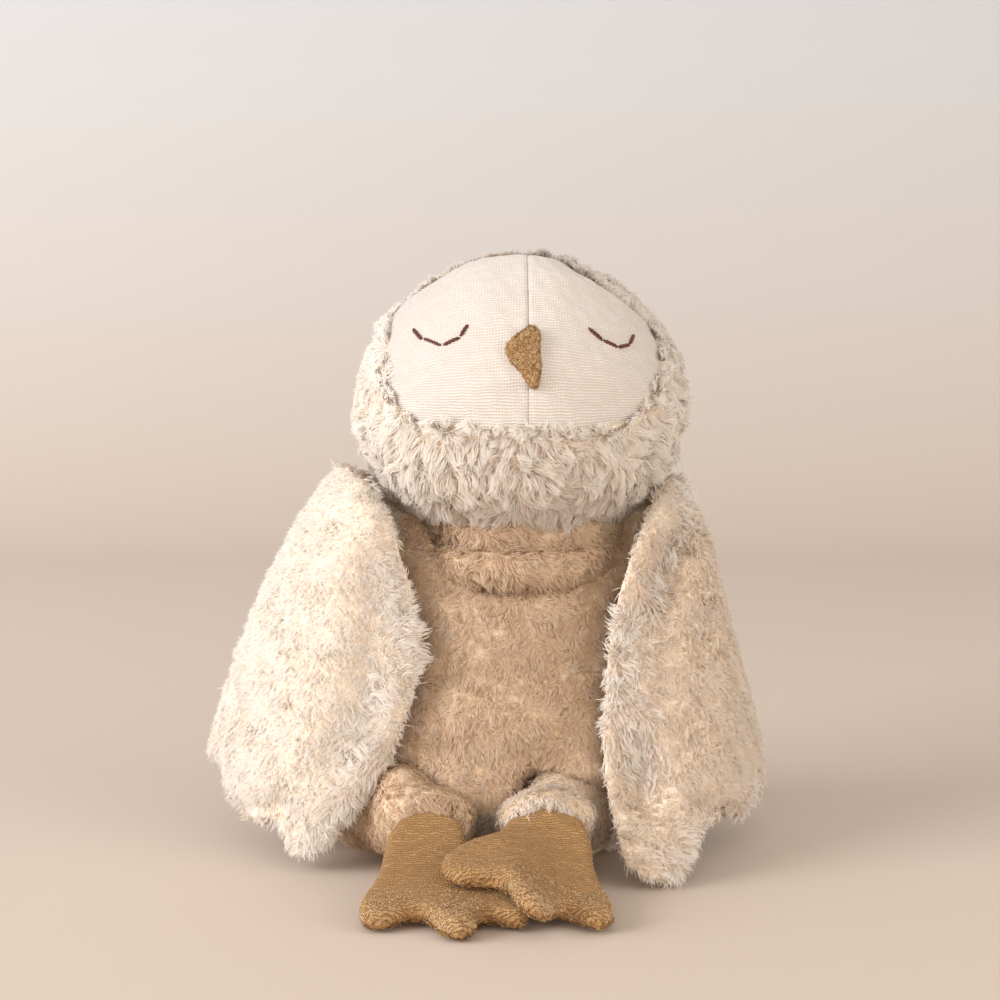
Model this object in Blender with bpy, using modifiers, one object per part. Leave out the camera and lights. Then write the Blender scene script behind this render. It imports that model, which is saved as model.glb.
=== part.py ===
"""Plush owl, sitting.

A soft toy sewn from long-pile plush, ribbed velour and terry cloth.  It sits on a
bean-weighted seat with its wings hanging over its sides and its feet crossed in front.
Metres, +Z up, the face looks along -Y, the origin is the middle of the flat seat.
"""

import math

import bmesh
import bpy
from mathutils import Matrix, Vector

# Driving dimensions, in metres

GAP = 0.0003                 # running gap between neighbouring sewn pieces
SWEEP_GAP = 0.0007           # room round a limb that swings in its socket
SKIN = 0.0035                # plush backing with the packed part of its pile
SEAT_CUT = 0.0005            # how deep the round seat is pressed flat
CUT_REACH = 0.3              # overrun of every cutting block

HEAD_HALF_WIDTH = 0.0665
HEAD_RADIUS = 0.0595         # round about the nodding axis
HEAD_X = 0.008
HEAD_Y = 0.0
HEAD_SET = 0.0335            # middle of the head above the top of the body
HEAD_TURN_ROOM = 0.0012      # air between the turning head and the shoulders

FACE_BACK_Y = 0.004          # the velour stops just behind the crown
FACE_LEAN = math.radians(6.5)
SEAM_X = 0.003               # the face seam, right of the head's middle

EYE_SAG = 0.0074
LEFT_EYE_SPAN = 0.0222
LEFT_EYE_X = -0.0315
LEFT_EYE_TURN = math.radians(3.0)
RIGHT_EYE_SPAN = 0.0186
RIGHT_EYE_X = 0.0358
RIGHT_EYE_TURN = math.radians(-7.0)
EYE_RISE = 0.0256            # eye corners above the head's middle
THREAD_RADIUS = 0.00055

BEAK_WIDTH = 0.0142
BEAK_LENGTH = 0.0252
BEAK_DEPTH = 0.0105
BEAK_X = -0.0020
BEAK_RISE = 0.0132           # middle of the beak above the head's middle
BEAK_PAD = 0.0024            # rounding of the stuffed edge
BEAK_LEAN = math.radians(-12.0)

COLLAR_RADIUS = 0.0412
COLLAR_SINK = 0.039          # how deep the neck folds are set into the body
COLLAR_HEIGHT = 0.031
COLLAR_WAIST = 0.0026        # depth of the crease between the two folds

BODY_HEIGHT = 0.1495
BODY_HALF_WIDTH = 0.0765
BODY_HALF_DEPTH = 0.0545
HEAD_Z = BODY_HEIGHT + HEAD_SET
COLLAR_BOTTOM = BODY_HEIGHT - COLLAR_SINK
BODY_LEAN_X = 0.005
BODY_SET_BACK = 0.004
BODY_SPLIT_Y = 0.006
BASE_RISE = 0.009            # height of the seam round the base panel

POUCH_HALF_WIDTH = 0.034
POUCH_HALF_DEPTH = 0.027
POUCH_HEIGHT = 0.021
POUCH_Y = 0.010

HIP_RADIUS = 0.0195
HIP_Y = -0.0285
HIP_Z = 0.0212
CUFF_RADIUS = 0.0158
CUFF_BACK = 0.0135           # the cuff's middle lies this far behind the ankle seam
CUFF_BELOW = 0.0077          # and this far below it
ANKLE_Y = -0.0825
ANKLE_Z = 0.0277
LEFT_HIP_X = -0.0500
LEFT_ANKLE_X = -0.0265
RIGHT_HIP_X = 0.0320
RIGHT_ANKLE_X = 0.0165

FOOT_LENGTH = 0.069
FOOT_WIDTH = 0.0610
FOOT_THICK = 0.0082
FOOT_EDGE = 0.0030           # rounding of the foot's sewn edge
FOOT_DROP_ANGLE = math.radians(52.0)
FOOT_DROP_EASE = 1.6         # how early the foot flattens out
FOOT_CROSS_LIFT = 0.0094     # how far the crossing foot rides up on the other
cross_start_share = 0.28     # the climb starts here, as a share of the foot's width
cross_width_share = 0.32
cross_length_share = 0.36    # and is done this far along the foot
LEFT_FOOT_X = -0.0197
RIGHT_FOOT_X = 0.0098

WING_DROP = 0.153            # shoulder roll down to the lowest hem
WING_REACH = 0.0640          # shoulder roll out to the widest hem
WING_WRAP = 0.0700           # how far a wing wraps round, front to back
WING_PLUSH = 0.0052
WING_LINING = 0.0036
WING_EDGE_SHARE = 0.3        # edge thickness as a share of the full thickness
WING_SCALLOP = 0.0110        # depth of the notches in the hem
HEM_EASE = 6                 # how quickly a notch fades out up the wing
SCALLOP_SPREAD_SHARE = 0.16  # half the width of a notch, as a share of the hem
wing_rim_share = 0.17        # how far in the cloth thins towards its edge
LEFT_ROOT_RADIUS = 0.0105
RIGHT_ROOT_RADIUS = 0.0080
ROOT_RADIUS = {"left": LEFT_ROOT_RADIUS, "right": RIGHT_ROOT_RADIUS}
ROOT_ANGLE = {"left": math.radians(43.0), "right": math.radians(39.0)}
ROOT_SINK = 0.0015           # how deep a gathered root is drawn into the shoulder
ROOT_HALF_LENGTH = 0.0125
ROOT_Y = 0.006
shoulder_station_share = 11 / 13

SIDES = ("left", "right")

# how far each limb swings, down and up, about its line along X
LEG_SWING = {"left": (math.radians(-30.0), 0.0), "right": (0.0, math.radians(15.0))}
FOOT_SWING = {"left": (math.radians(-20.0), 0.0), "right": (0.0, math.radians(35.0))}

# Hand-drawn outlines, as shares of the sizes above

# the velour face seen from the front: x and rise as shares of the head's half width
face_outline_shares = [
    (-0.825, 0.360), (-0.830, 0.150), (-0.780, -0.040), (-0.640, -0.160),
    (-0.440, -0.225), (0.045, -0.243), (0.490, -0.236), (0.630, -0.190),
    (0.760, -0.080), (0.845, 0.085), (0.872, 0.260), (0.835, 0.405),
    (0.725, 0.525), (0.575, 0.640), (0.300, 0.825), (0.100, 0.930),
    (-0.300, 0.960), (-0.640, 0.840), (-0.820, 0.620),
]

# the beak seen from the front: x as shares of its width, rise as shares of its length
beak_outline_shares = [
    (0.31, 0.50), (-0.18, 0.36), (-0.50, 0.16), (-0.40, -0.04),
    (-0.06, -0.27), (0.30, -0.50), (0.47, -0.22), (0.46, 0.12),
]

# shut eyelids: x as shares of the span, drop as shares of the sag
eye_arc_shares = [(-0.50, 0.0), (-0.34, 0.60), (-0.06, 1.0), (0.28, 0.72), (0.50, 0.0)]

# the outside of the two neck folds: how much of the waist is drawn in, and rise
collar_profile_shares = [
    (2.0, 1.0), (0.5, 0.80), (0.5, 0.62), (1.0, 0.50), (0.0, 0.36), (0.0, 0.18), (1.0, 0.0),
]

# stations up the body: height, half width, half depth, forward set
body_station_shares = [
    (-0.003, 0.0, 0.0, 0.0), (-0.003, 0.46, 0.44, 0.0), (0.000, 0.84, 0.80, 0.0),
    (0.040, 0.965, 0.94, 0.3), (0.135, 1.00, 1.00, 0.9), (0.300, 0.95, 1.02, 1.3),
    (0.430, 0.885, 0.955, 1.1), (0.540, 0.84, 0.845, 0.6), (0.650, 0.82, 0.80, 0.2),
    (0.750, 0.81, 0.75, -0.2), (0.850, 0.815, 0.60, -0.8), (0.935, 0.80, 0.42, -1.2),
    (0.990, 0.48, 0.22, -1.3), (1.0, 0.0, 0.0, -1.3),
]

# a foot seen from above: across as shares of its width, along as shares of its length
left_foot_shares = [
    (0.06, 0.0), (-0.30, 0.0), (-0.39, 0.20), (-0.42, 0.40), (-0.50, 0.62),
    (-0.49, 0.80), (-0.37, 0.86), (-0.24, 0.76), (-0.13, 0.76), (-0.02, 0.93),
    (0.08, 1.00), (0.17, 0.93), (0.20, 0.79), (0.30, 0.78), (0.44, 0.84),
    (0.50, 0.74), (0.38, 0.58), (0.22, 0.40), (0.12, 0.20),
]
right_foot_shares = [
    (0.35, 0.0), (-0.10, 0.0), (-0.17, 0.15), (-0.33, 0.30), (-0.49, 0.44),
    (-0.50, 0.58), (-0.38, 0.65), (-0.20, 0.67), (-0.10, 0.75), (-0.05, 0.92),
    (0.04, 1.00), (0.13, 0.92), (0.18, 0.78), (0.28, 0.77), (0.38, 0.85),
    (0.47, 0.84), (0.51, 0.72), (0.46, 0.52), (0.41, 0.30),
]

# a wing from its front edge to its back edge, row by row from the shoulder down:
# x out from the shoulder axis, y from the wing's middle, z down from the shoulder roll
left_wing_shares = [
    [(-0.090, -0.20, 0.025), (-0.045, -0.13, 0.004), (0.000, -0.04, 0.000),
     (0.030, 0.05, 0.002), (0.075, 0.13, 0.016)],
    [(-0.320, -0.51, 0.110), (-0.155, -0.50, 0.115), (0.020, -0.35, 0.120),
     (0.160, -0.12, 0.135), (0.310, 0.13, 0.150)],
    [(-0.430, -0.625, 0.320), (-0.130, -0.67, 0.325), (0.185, -0.52, 0.340),
     (0.410, -0.24, 0.350), (0.590, 0.13, 0.370)],
    [(-0.470, -0.715, 0.525), (-0.125, -0.775, 0.540), (0.240, -0.63, 0.560),
     (0.535, -0.31, 0.575), (0.800, 0.17, 0.590)],
    [(-0.310, -0.815, 0.750), (-0.010, -0.850, 0.775), (0.330, -0.70, 0.790),
     (0.630, -0.33, 0.785), (0.935, 0.19, 0.755)],
    [(0.020, -0.870, 0.930), (0.240, -0.850, 0.990), (0.460, -0.58, 0.980),
     (0.730, -0.17, 0.925), (0.980, 0.19, 0.825)],
]
right_wing_shares = [
    [(0.105, -0.16, 0.030), (0.060, -0.10, 0.005), (0.010, -0.03, -0.005),
     (-0.040, 0.04, -0.005), (-0.090, 0.11, 0.015)],
    [(0.270, -0.46, 0.140), (0.120, -0.48, 0.140), (-0.040, -0.35, 0.145),
     (-0.150, -0.14, 0.150), (-0.220, 0.10, 0.165)],
    [(0.410, -0.60, 0.310), (0.190, -0.64, 0.310), (-0.040, -0.53, 0.320),
     (-0.210, -0.27, 0.330), (-0.350, 0.12, 0.345)],
    [(0.480, -0.72, 0.505), (0.220, -0.78, 0.515), (-0.070, -0.66, 0.525),
     (-0.310, -0.34, 0.540), (-0.500, 0.14, 0.560)],
    [(0.500, -0.87, 0.715), (0.240, -0.95, 0.730), (-0.060, -0.83, 0.740),
     (-0.360, -0.43, 0.750), (-0.630, 0.16, 0.765)],
    [(0.380, -1.16, 0.940), (0.190, -1.20, 0.975), (-0.040, -1.02, 0.980),
     (-0.330, -0.46, 0.925), (-0.640, 0.14, 0.930)],
]
# notches between the lobes of the hem, as shares of the way from front to back
wing_notch_shares = {"left": (0.47, 0.84), "right": (0.55,)}

# Finishes

FINISHES = {
    "plush": ((0.86, 0.80, 0.69), 0.95),
    "velour": ((0.88, 0.83, 0.74), 0.9),
    "terry": ((0.38, 0.26, 0.14), 0.95),
    "thread": ((0.075, 0.03, 0.02), 0.7),
    "fibre": ((0.90, 0.90, 0.88), 1.0),
    "cotton": ((0.78, 0.74, 0.66), 0.9),
}


def clear_scene():
    """Remove what a new file holds."""
    for item in list(bpy.data.objects):
        bpy.data.objects.remove(item, do_unlink=True)


def new_collection(name):
    made = bpy.data.collections.new(name)
    bpy.context.scene.collection.children.link(made)
    return made


def finish_of(name):
    """The named cloth as a plain shaded material."""
    found = bpy.data.materials.get(name)
    if found:
        return found
    colour, rough = FINISHES[name]
    made = bpy.data.materials.new(name)
    made.use_nodes = True
    shader = made.node_tree.nodes["Principled BSDF"]
    shader.inputs["Base Color"].default_value = (*colour, 1.0)
    shader.inputs["Roughness"].default_value = rough
    return made


def add_mesh(name, mesh, finish=None):
    """Link a mesh as a named piece, or as a cutter where it has no finish."""
    made = bpy.data.objects.new(name, mesh)
    if finish:
        OWL.objects.link(made)
        mesh.materials.append(finish_of(finish))
        for face in mesh.polygons:
            face.use_smooth = True
    else:
        CUTTERS.objects.link(made)
        made.hide_render = True
        made.display_type = "WIRE"
    return made


def boolean(piece, cutter, operation="DIFFERENCE", solver="EXACT"):
    step = piece.modifiers.new(cutter.name, "BOOLEAN")
    step.operation = operation
    step.solver = solver
    step.object = cutter
    return step


def set_origin(piece, place):
    """Put a piece's origin on its joint without moving its shape."""
    piece.data.transform(Matrix.Translation(-Vector(place)))
    piece.location = place


def box(name, low, high):
    """A cutting block between two corners."""
    form = bmesh.new()
    bmesh.ops.create_cube(form, size=1)
    size = [b - a for a, b in zip(low, high)]
    middle = [(a + b) / 2 for a, b in zip(low, high)]
    bmesh.ops.scale(form, vec=size, verts=form.verts)
    bmesh.ops.translate(form, vec=middle, verts=form.verts)
    mesh = bpy.data.meshes.new(name)
    form.to_mesh(mesh)
    form.free()
    return add_mesh(name, mesh)


def ball_mesh(name, around, up, place):
    """A closed round form whose every point is put by place(polar, turn)."""
    form = bmesh.new()
    bmesh.ops.create_uvsphere(form, u_segments=around, v_segments=up, radius=1)
    bmesh.ops.triangulate(form, faces=form.faces, quad_method="FIXED")
    for point in form.verts:
        polar = math.acos(max(-1.0, min(1.0, point.co.z)))
        turn = math.atan2(point.co.y, point.co.x)
        point.co = place(polar, turn)
    mesh = bpy.data.meshes.new(name)
    form.to_mesh(mesh)
    form.free()
    return mesh


def spheroid(name, centre, radii, around, up, finish=None, axis="Z"):
    """An ellipsoid with its poles on the named axis."""
    def place(polar, turn):
        ring = math.sin(polar)
        p, q, r = ring * math.cos(turn), ring * math.sin(turn), math.cos(polar)
        unit = {"Z": (p, q, r), "X": (r, p, q), "Y": (q, r, p)}[axis]
        return Vector([c + s * k for c, s, k in zip(centre, radii, unit)])
    return add_mesh(name, ball_mesh(name, around, up, place), finish)


def smooth_at(stations, where):
    """A smooth curve through the stations, read at where from 0 to 1."""
    last = len(stations) - 1
    spot = min(max(where, 0.0), 1.0) * last
    start = min(int(spot), last - 1)
    part = spot - start
    keys = [stations[min(max(start + k, 0), last)] for k in (-1, 0, 1, 2)]
    values = []
    for a, b, c, d in zip(*keys):
        bend = (2 * a - 5 * b + 4 * c - d) * part ** 2 + (3 * b - a - 3 * c + d) * part ** 3
        values.append(b + ((c - a) * part + bend) / 2)
    return values


def outline_curve(name, points, half_thick, edge, steps):
    """A filled flat outline with a rounded edge, made a mesh."""
    curve = bpy.data.curves.new(name, "CURVE")
    curve.dimensions = "2D"
    curve.fill_mode = "BOTH"
    curve.extrude = half_thick - edge
    curve.bevel_depth = edge
    curve.bevel_resolution = 1 if edge else 0
    curve.offset = -edge
    curve.resolution_u = steps
    spline = curve.splines.new("BEZIER")
    spline.bezier_points.add(len(points) - 1)
    for knot, (x, y) in zip(spline.bezier_points, points):
        knot.co = (x, y, 0.0)
        knot.handle_left_type = "AUTO"
        knot.handle_right_type = "AUTO"
    spline.use_cyclic_u = True
    made = bpy.data.objects.new(name, curve)
    CUTTERS.objects.link(made)
    seen = made.evaluated_get(bpy.context.evaluated_depsgraph_get())
    mesh = bpy.data.meshes.new_from_object(seen)
    bpy.data.objects.remove(made, do_unlink=True)
    form = bmesh.new()
    form.from_mesh(mesh)
    bmesh.ops.remove_doubles(form, verts=form.verts, dist=GAP / 20)
    bmesh.ops.recalc_face_normals(form, faces=form.faces)
    form.to_mesh(mesh)
    form.free()
    return mesh


# Head

HEAD_CENTRE = Vector((HEAD_X, HEAD_Y, HEAD_Z))
VIEW_UP = Vector((0.0, math.sin(FACE_LEAN), math.cos(FACE_LEAN)))
VIEW_OUT = Vector((0.0, -math.cos(FACE_LEAN), math.sin(FACE_LEAN)))


def head_form(name, grow, finish=None, around=26, up=16):
    """The egg of the head, grown or shrunk all over; its poles are the two cheeks."""
    wide = HEAD_HALF_WIDTH + grow
    deep = HEAD_RADIUS + grow
    return spheroid(name, HEAD_CENTRE, (wide, deep, deep), around, up, finish, axis="X")


def on_face(x, rise, lift):
    """The point of the face at x and rise from the head's middle, seen from the front."""
    wide = HEAD_HALF_WIDTH + lift
    deep = HEAD_RADIUS + lift
    left = max(1 - (x / wide) ** 2, 0.0) * deep ** 2 - rise ** 2
    middle = HEAD_CENTRE + Vector((x, 0.0, 0.0))
    return middle + VIEW_UP * rise + VIEW_OUT * math.sqrt(max(left, 0.0))


def lean_matrix(centre):
    """Stand a flat outline up so that it faces the front and leans back."""
    turn = Matrix.Rotation(math.pi / 2 - FACE_LEAN, 4, "X")
    return Matrix.Translation(centre) @ turn


def face_prism(name, grow):
    """The cutter that parts the velour face from the plush hood."""
    points = [(x * HEAD_HALF_WIDTH, y * HEAD_HALF_WIDTH) for x, y in face_outline_shares]
    spread = 1 + grow / HEAD_HALF_WIDTH
    half = HEAD_HALF_WIDTH
    mesh = outline_curve(name, [(x * spread, y * spread) for x, y in points], half, 0.0, 3)
    mesh.transform(lean_matrix(HEAD_CENTRE + VIEW_OUT * half))
    return add_mesh(name, mesh)


def make_head():
    inner = head_form("cut_head_inner", -SKIN)
    hood = head_form("head_fur_hood", 0.0, "plush")
    boolean(hood, inner)
    prism = face_prism("cut_face_opening", GAP / 2)
    behind = box("cut_behind_face", (-CUT_REACH, FACE_BACK_Y, -CUT_REACH), (CUT_REACH,) * 3)
    boolean(prism, behind)
    boolean(hood, prism)
    stuffing = head_form("head_stuffing", -SKIN - GAP, "fibre")
    for side, sign in (("left", -1), ("right", 1)):
        panel = head_form("face_panel_" + side, 0.0, "velour")
        boolean(panel, inner)
        keep = face_prism("keep_face_" + side, -GAP / 2)
        crown = (-CUT_REACH, FACE_BACK_Y - GAP, -CUT_REACH)
        boolean(keep, box("cut_behind_panel_" + side, crown, (CUT_REACH,) * 3))
        seam = HEAD_X + SEAM_X + sign * GAP / 2
        low, high = sorted((seam, -sign * CUT_REACH))
        other = box("cut_seam_" + side, (low, -CUT_REACH, -CUT_REACH), (high, CUT_REACH, CUT_REACH))
        boolean(panel, keep, "INTERSECT")
        boolean(panel, other)
        pieces_on_head.append(panel)
    pieces_on_head.extend([hood, stuffing])


def make_eye(side, middle_x, span, tilt):
    """One shut eye: a dark thread laid along the lid."""
    curve = bpy.data.curves.new("eye_stitch_" + side, "CURVE")
    curve.dimensions = "3D"
    curve.bevel_depth = THREAD_RADIUS
    curve.bevel_resolution = 1
    curve.use_fill_caps = True
    steps = 12
    spline = curve.splines.new("POLY")
    spline.points.add(steps)
    lift = THREAD_RADIUS + GAP
    for step in range(steps + 1):
        across, drop = smooth_at(eye_arc_shares, step / steps)
        x = across * span
        rise = -drop * EYE_SAG
        turned_x = x * math.cos(tilt) - rise * math.sin(tilt)
        turned_rise = x * math.sin(tilt) + rise * math.cos(tilt)
        point = on_face(middle_x + turned_x, EYE_RISE + turned_rise, lift)
        spline.points[step].co = (*point, 1.0)
    thread = bpy.data.objects.new("eye_stitch_" + side, curve)
    curve.materials.append(finish_of("thread"))
    OWL.objects.link(thread)
    weld = thread.modifiers.new("weld", "WELD")
    weld.merge_threshold = THREAD_RADIUS / 50
    pieces_on_head.append(thread)


def make_beak():
    """A small stuffed triangle, sewn flat to the face."""
    points = [(x * BEAK_WIDTH, y * BEAK_LENGTH) for x, y in beak_outline_shares]
    mesh = outline_curve("beak", points, BEAK_DEPTH / 2, BEAK_PAD, 3)
    middle = on_face(SEAM_X + BEAK_X, BEAK_RISE, 0.0)
    mesh.transform(Matrix.Rotation(BEAK_LEAN, 4, "X"))
    mesh.transform(lean_matrix(middle))
    beak = add_mesh("beak", mesh, "terry")
    boolean(beak, head_form("cut_beak_seat", GAP))
    pieces_on_head.append(beak)


# Neck

def make_collar():
    """The two loose folds of plush that the head rolls in."""
    low = COLLAR_BOTTOM + GAP
    profile = [(0.0, COLLAR_BOTTOM + COLLAR_HEIGHT)]
    for waist, rise in collar_profile_shares:
        profile.append((COLLAR_RADIUS - COLLAR_WAIST * waist, low + (COLLAR_HEIGHT - GAP) * rise))
    profile.append((0.0, low))
    mesh = bpy.data.meshes.new("neck_roll")
    rows = range(len(profile) - 1)
    mesh.from_pydata([(r, 0.0, z) for r, z in profile], [(k, k + 1) for k in rows], [])
    collar = add_mesh("neck_roll", mesh, "plush")
    turn = collar.modifiers.new("turn", "SCREW")
    turn.steps = 24
    turn.render_steps = 24
    turn.use_merge_vertices = True
    turn.merge_threshold = GAP / 10
    collar.location = (HEAD_X, HEAD_Y, 0.0)
    boolean(collar, head_form("cut_collar_seat", SWEEP_GAP))


# Body

def body_form(name, grow, finish=None, around=26, up=18):
    """The pear of the body, grown or shrunk all over."""
    def place(polar, turn):
        rise, wide, deep, forward = smooth_at(body_station_shares, 1 - polar / math.pi)
        end = min(wide * len(body_station_shares), 1.0)
        height = rise * BODY_HEIGHT
        lift = grow * (2 * min(max(rise, 0.0), 1.0) - 1)
        x = (wide * BODY_HALF_WIDTH + grow * end) * math.cos(turn) + BODY_LEAN_X * rise
        y = (deep * BODY_HALF_DEPTH + grow * end) * math.sin(turn) - BODY_SET_BACK * forward
        return Vector((x, y, height + lift))
    return add_mesh(name, ball_mesh(name, around, up, place), finish)


def body_cutters():
    """Everything that hollows the body: the head's sweep, the collar and the thighs."""
    sweep = HEAD_HALF_WIDTH + HEAD_TURN_ROOM
    high = HEAD_RADIUS + HEAD_TURN_ROOM
    head = spheroid("cut_head_sweep", HEAD_CENTRE, (sweep, sweep, high), 36, 20)
    neck = bmesh.new()
    wide = COLLAR_RADIUS + GAP
    bmesh.ops.create_cone(neck, cap_ends=True, segments=40, radius1=wide, radius2=wide, depth=BODY_HEIGHT)
    bmesh.ops.translate(neck, vec=(HEAD_X, HEAD_Y, COLLAR_BOTTOM + BODY_HEIGHT / 2), verts=neck.verts)
    mesh = bpy.data.meshes.new("cut_collar_well")
    neck.to_mesh(mesh)
    neck.free()
    cutters = [head, add_mesh("cut_collar_well", mesh)]
    for side in SIDES:
        form = bmesh.new()
        form.from_mesh(leg_form("sweep_%s_thigh" % side, side, 0.0).data)
        cutters.append(swept_form("cut_%s_thigh" % side, form, hip_of(side), LEG_SWING[side]))
        cutters.append(wing_root("cut_%s_root" % side, side, GAP))
    cutters.append(box("cut_floor", (-CUT_REACH,) * 3, (CUT_REACH, CUT_REACH, 0.0)))
    return cutters


def swept_form(name, form, centre, swing):
    """The room that a limb needs: its hull through its swing about a line along X."""
    points = [point.co.copy() for point in form.verts]
    form.free()
    centre = Vector(centre)
    room = bmesh.new()
    steps = 3
    for step in range(steps + 1):
        angle = swing[0] + (swing[1] - swing[0]) * step / steps
        turn = Matrix.Rotation(-angle, 3, "X")
        for point in points:
            room.verts.new(centre + turn @ (point - centre))
    hull = bmesh.ops.convex_hull(room, input=room.verts)
    inside = {item for item in hull["geom_interior"] if isinstance(item, bmesh.types.BMVert)}
    bmesh.ops.delete(room, geom=list(inside), context="VERTS")
    loose = [point for point in room.verts if not point.link_faces]
    bmesh.ops.delete(room, geom=loose, context="VERTS")
    bmesh.ops.remove_doubles(room, verts=room.verts, dist=SWEEP_GAP * 2)
    bmesh.ops.recalc_face_normals(room, faces=room.faces)
    room.normal_update()
    for point, normal in [(point, point.normal.copy()) for point in room.verts]:
        point.co += normal * SWEEP_GAP
    mesh = bpy.data.meshes.new(name)
    room.to_mesh(mesh)
    room.free()
    return add_mesh(name, mesh)


def make_body(cutters):
    inner = body_form("cut_body_inner", -SKIN)
    above = box("cut_above_base", (-CUT_REACH, -CUT_REACH, BASE_RISE - GAP / 2), (CUT_REACH,) * 3)
    below = box("cut_below_base", (-CUT_REACH,) * 3, (CUT_REACH, CUT_REACH, BASE_RISE + GAP / 2))
    front = box("cut_front", (-CUT_REACH,) * 3, (CUT_REACH, BODY_SPLIT_Y + GAP / 2, CUT_REACH))
    back = box("cut_back", (-CUT_REACH, BODY_SPLIT_Y - GAP / 2, -CUT_REACH), (CUT_REACH,) * 3)
    made = []
    for name, parts in (("body_front_panel", (below, back)), ("body_back_panel", (below, front)),
                        ("body_base_panel", (above,))):
        panel = body_form(name, 0.0, "plush")
        boolean(panel, inner)
        for cutter in parts:
            boolean(panel, cutter)
        made.append(panel)
    stuffing = body_form("body_stuffing", -SKIN - GAP, "fibre")
    well = spheroid("cut_pouch_well", (0.0, POUCH_Y, SKIN / 2),
                    (POUCH_HALF_WIDTH + GAP, POUCH_HALF_DEPTH + GAP, POUCH_HEIGHT + GAP), 20, 12)
    boolean(stuffing, well)
    made.append(stuffing)
    for piece in made:
        for cutter in cutters:
            boolean(piece, cutter, solver="MANIFOLD")
    pouch = spheroid("bean_pouch", (0.0, POUCH_Y, SKIN / 2),
                     (POUCH_HALF_WIDTH, POUCH_HALF_DEPTH, POUCH_HEIGHT), 20, 12, "cotton")
    floor = SKIN + GAP * 2
    boolean(pouch, box("cut_pouch_floor", (-CUT_REACH,) * 3, (CUT_REACH, CUT_REACH, floor)))


# Legs

def hip_of(side):
    return (LEFT_HIP_X if side == "left" else RIGHT_HIP_X, HIP_Y, HIP_Z)


def ankle_of(side):
    return (LEFT_ANKLE_X if side == "left" else RIGHT_ANKLE_X, ANKLE_Y, ANKLE_Z)


def leg_form(name, side, grow, finish=None):
    """A short stuffed leg: a round thigh that tapers to a rounder cuff."""
    hip = Vector(hip_of(side))
    middle = Vector(ankle_of(side)) + Vector((0.0, CUFF_BACK, -CUFF_BELOW))
    turn = (middle - hip).to_track_quat("Z", "Y").to_matrix()

    def place(polar, around):
        ring = math.sin(polar)
        unit = turn @ Vector((ring * math.cos(around), ring * math.sin(around), math.cos(polar)))
        if polar < math.pi / 2 - GAP:
            return middle + unit * (CUFF_RADIUS + grow)
        return hip + unit * (HIP_RADIUS + grow)
    return add_mesh(name, ball_mesh(name, 16, 10, place), finish)


def make_leg(side):
    hip = Vector(hip_of(side))
    ankle = Vector(ankle_of(side))
    along = (ankle - hip).normalized()
    fur = leg_form("leg_%s_fur" % side, side, 0.0, "plush")
    stuffing = leg_form("leg_%s_stuffing" % side, side, -SKIN - GAP, "fibre")
    boolean(fur, leg_form("cut_leg_%s_inner" % side, side, -SKIN))
    mouth = box("cut_leg_%s_mouth" % side, (-CUT_REACH,) * 3, (CUT_REACH, CUT_REACH, 0.0))
    turn = along.to_track_quat("Z", "Y").to_matrix().to_4x4()
    mouth.data.transform(Matrix.Translation(hip - along * HIP_RADIUS / 2) @ turn)
    boolean(fur, mouth)
    foot = bmesh.new()
    foot.from_mesh(foot_mesh("sweep_foot_" + side, side, -FOOT_THICK, FOOT_THICK))
    far = [point for point in foot.verts if point.co.y < ankle.y - HIP_RADIUS]
    bmesh.ops.delete(foot, geom=far, context="VERTS")
    cutter = swept_form("cut_ankle_" + side, foot, ankle, FOOT_SWING[side])
    floor = box("cut_leg_%s_floor" % side, (-CUT_REACH,) * 3, (CUT_REACH, CUT_REACH, SEAT_CUT))
    for piece in (fur, stuffing):
        boolean(piece, cutter, solver="MANIFOLD")
        boolean(piece, floor, solver="MANIFOLD")
        set_origin(piece, hip)


# Feet

def foot_path(along):
    """Where the foot's middle layer runs: steep at the ankle, flat at the toes."""
    steps = 24
    length = along / steps
    y = z = slope = 0.0
    for step in range(steps):
        done = min(max((step + 0.5) * length / FOOT_LENGTH, 0.0), 1.0)
        slope = FOOT_DROP_ANGLE * (1 - done) ** FOOT_DROP_EASE
        y -= math.cos(slope) * length
        z -= math.sin(slope) * length
    return y, z, slope


def cross_lift(x, along):
    """The crossing foot climbs on to the other foot at its inner toes."""
    inner = (RIGHT_FOOT_X - x) / FOOT_WIDTH + cross_start_share
    climb = min(max(inner / cross_width_share, 0.0), 1.0)
    start = min(max(along / FOOT_LENGTH / cross_length_share, 0.0), 1.0)
    ease = climb * climb * (3 - 2 * climb)
    return FOOT_CROSS_LIFT * ease * start * start * (3 - 2 * start)


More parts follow.
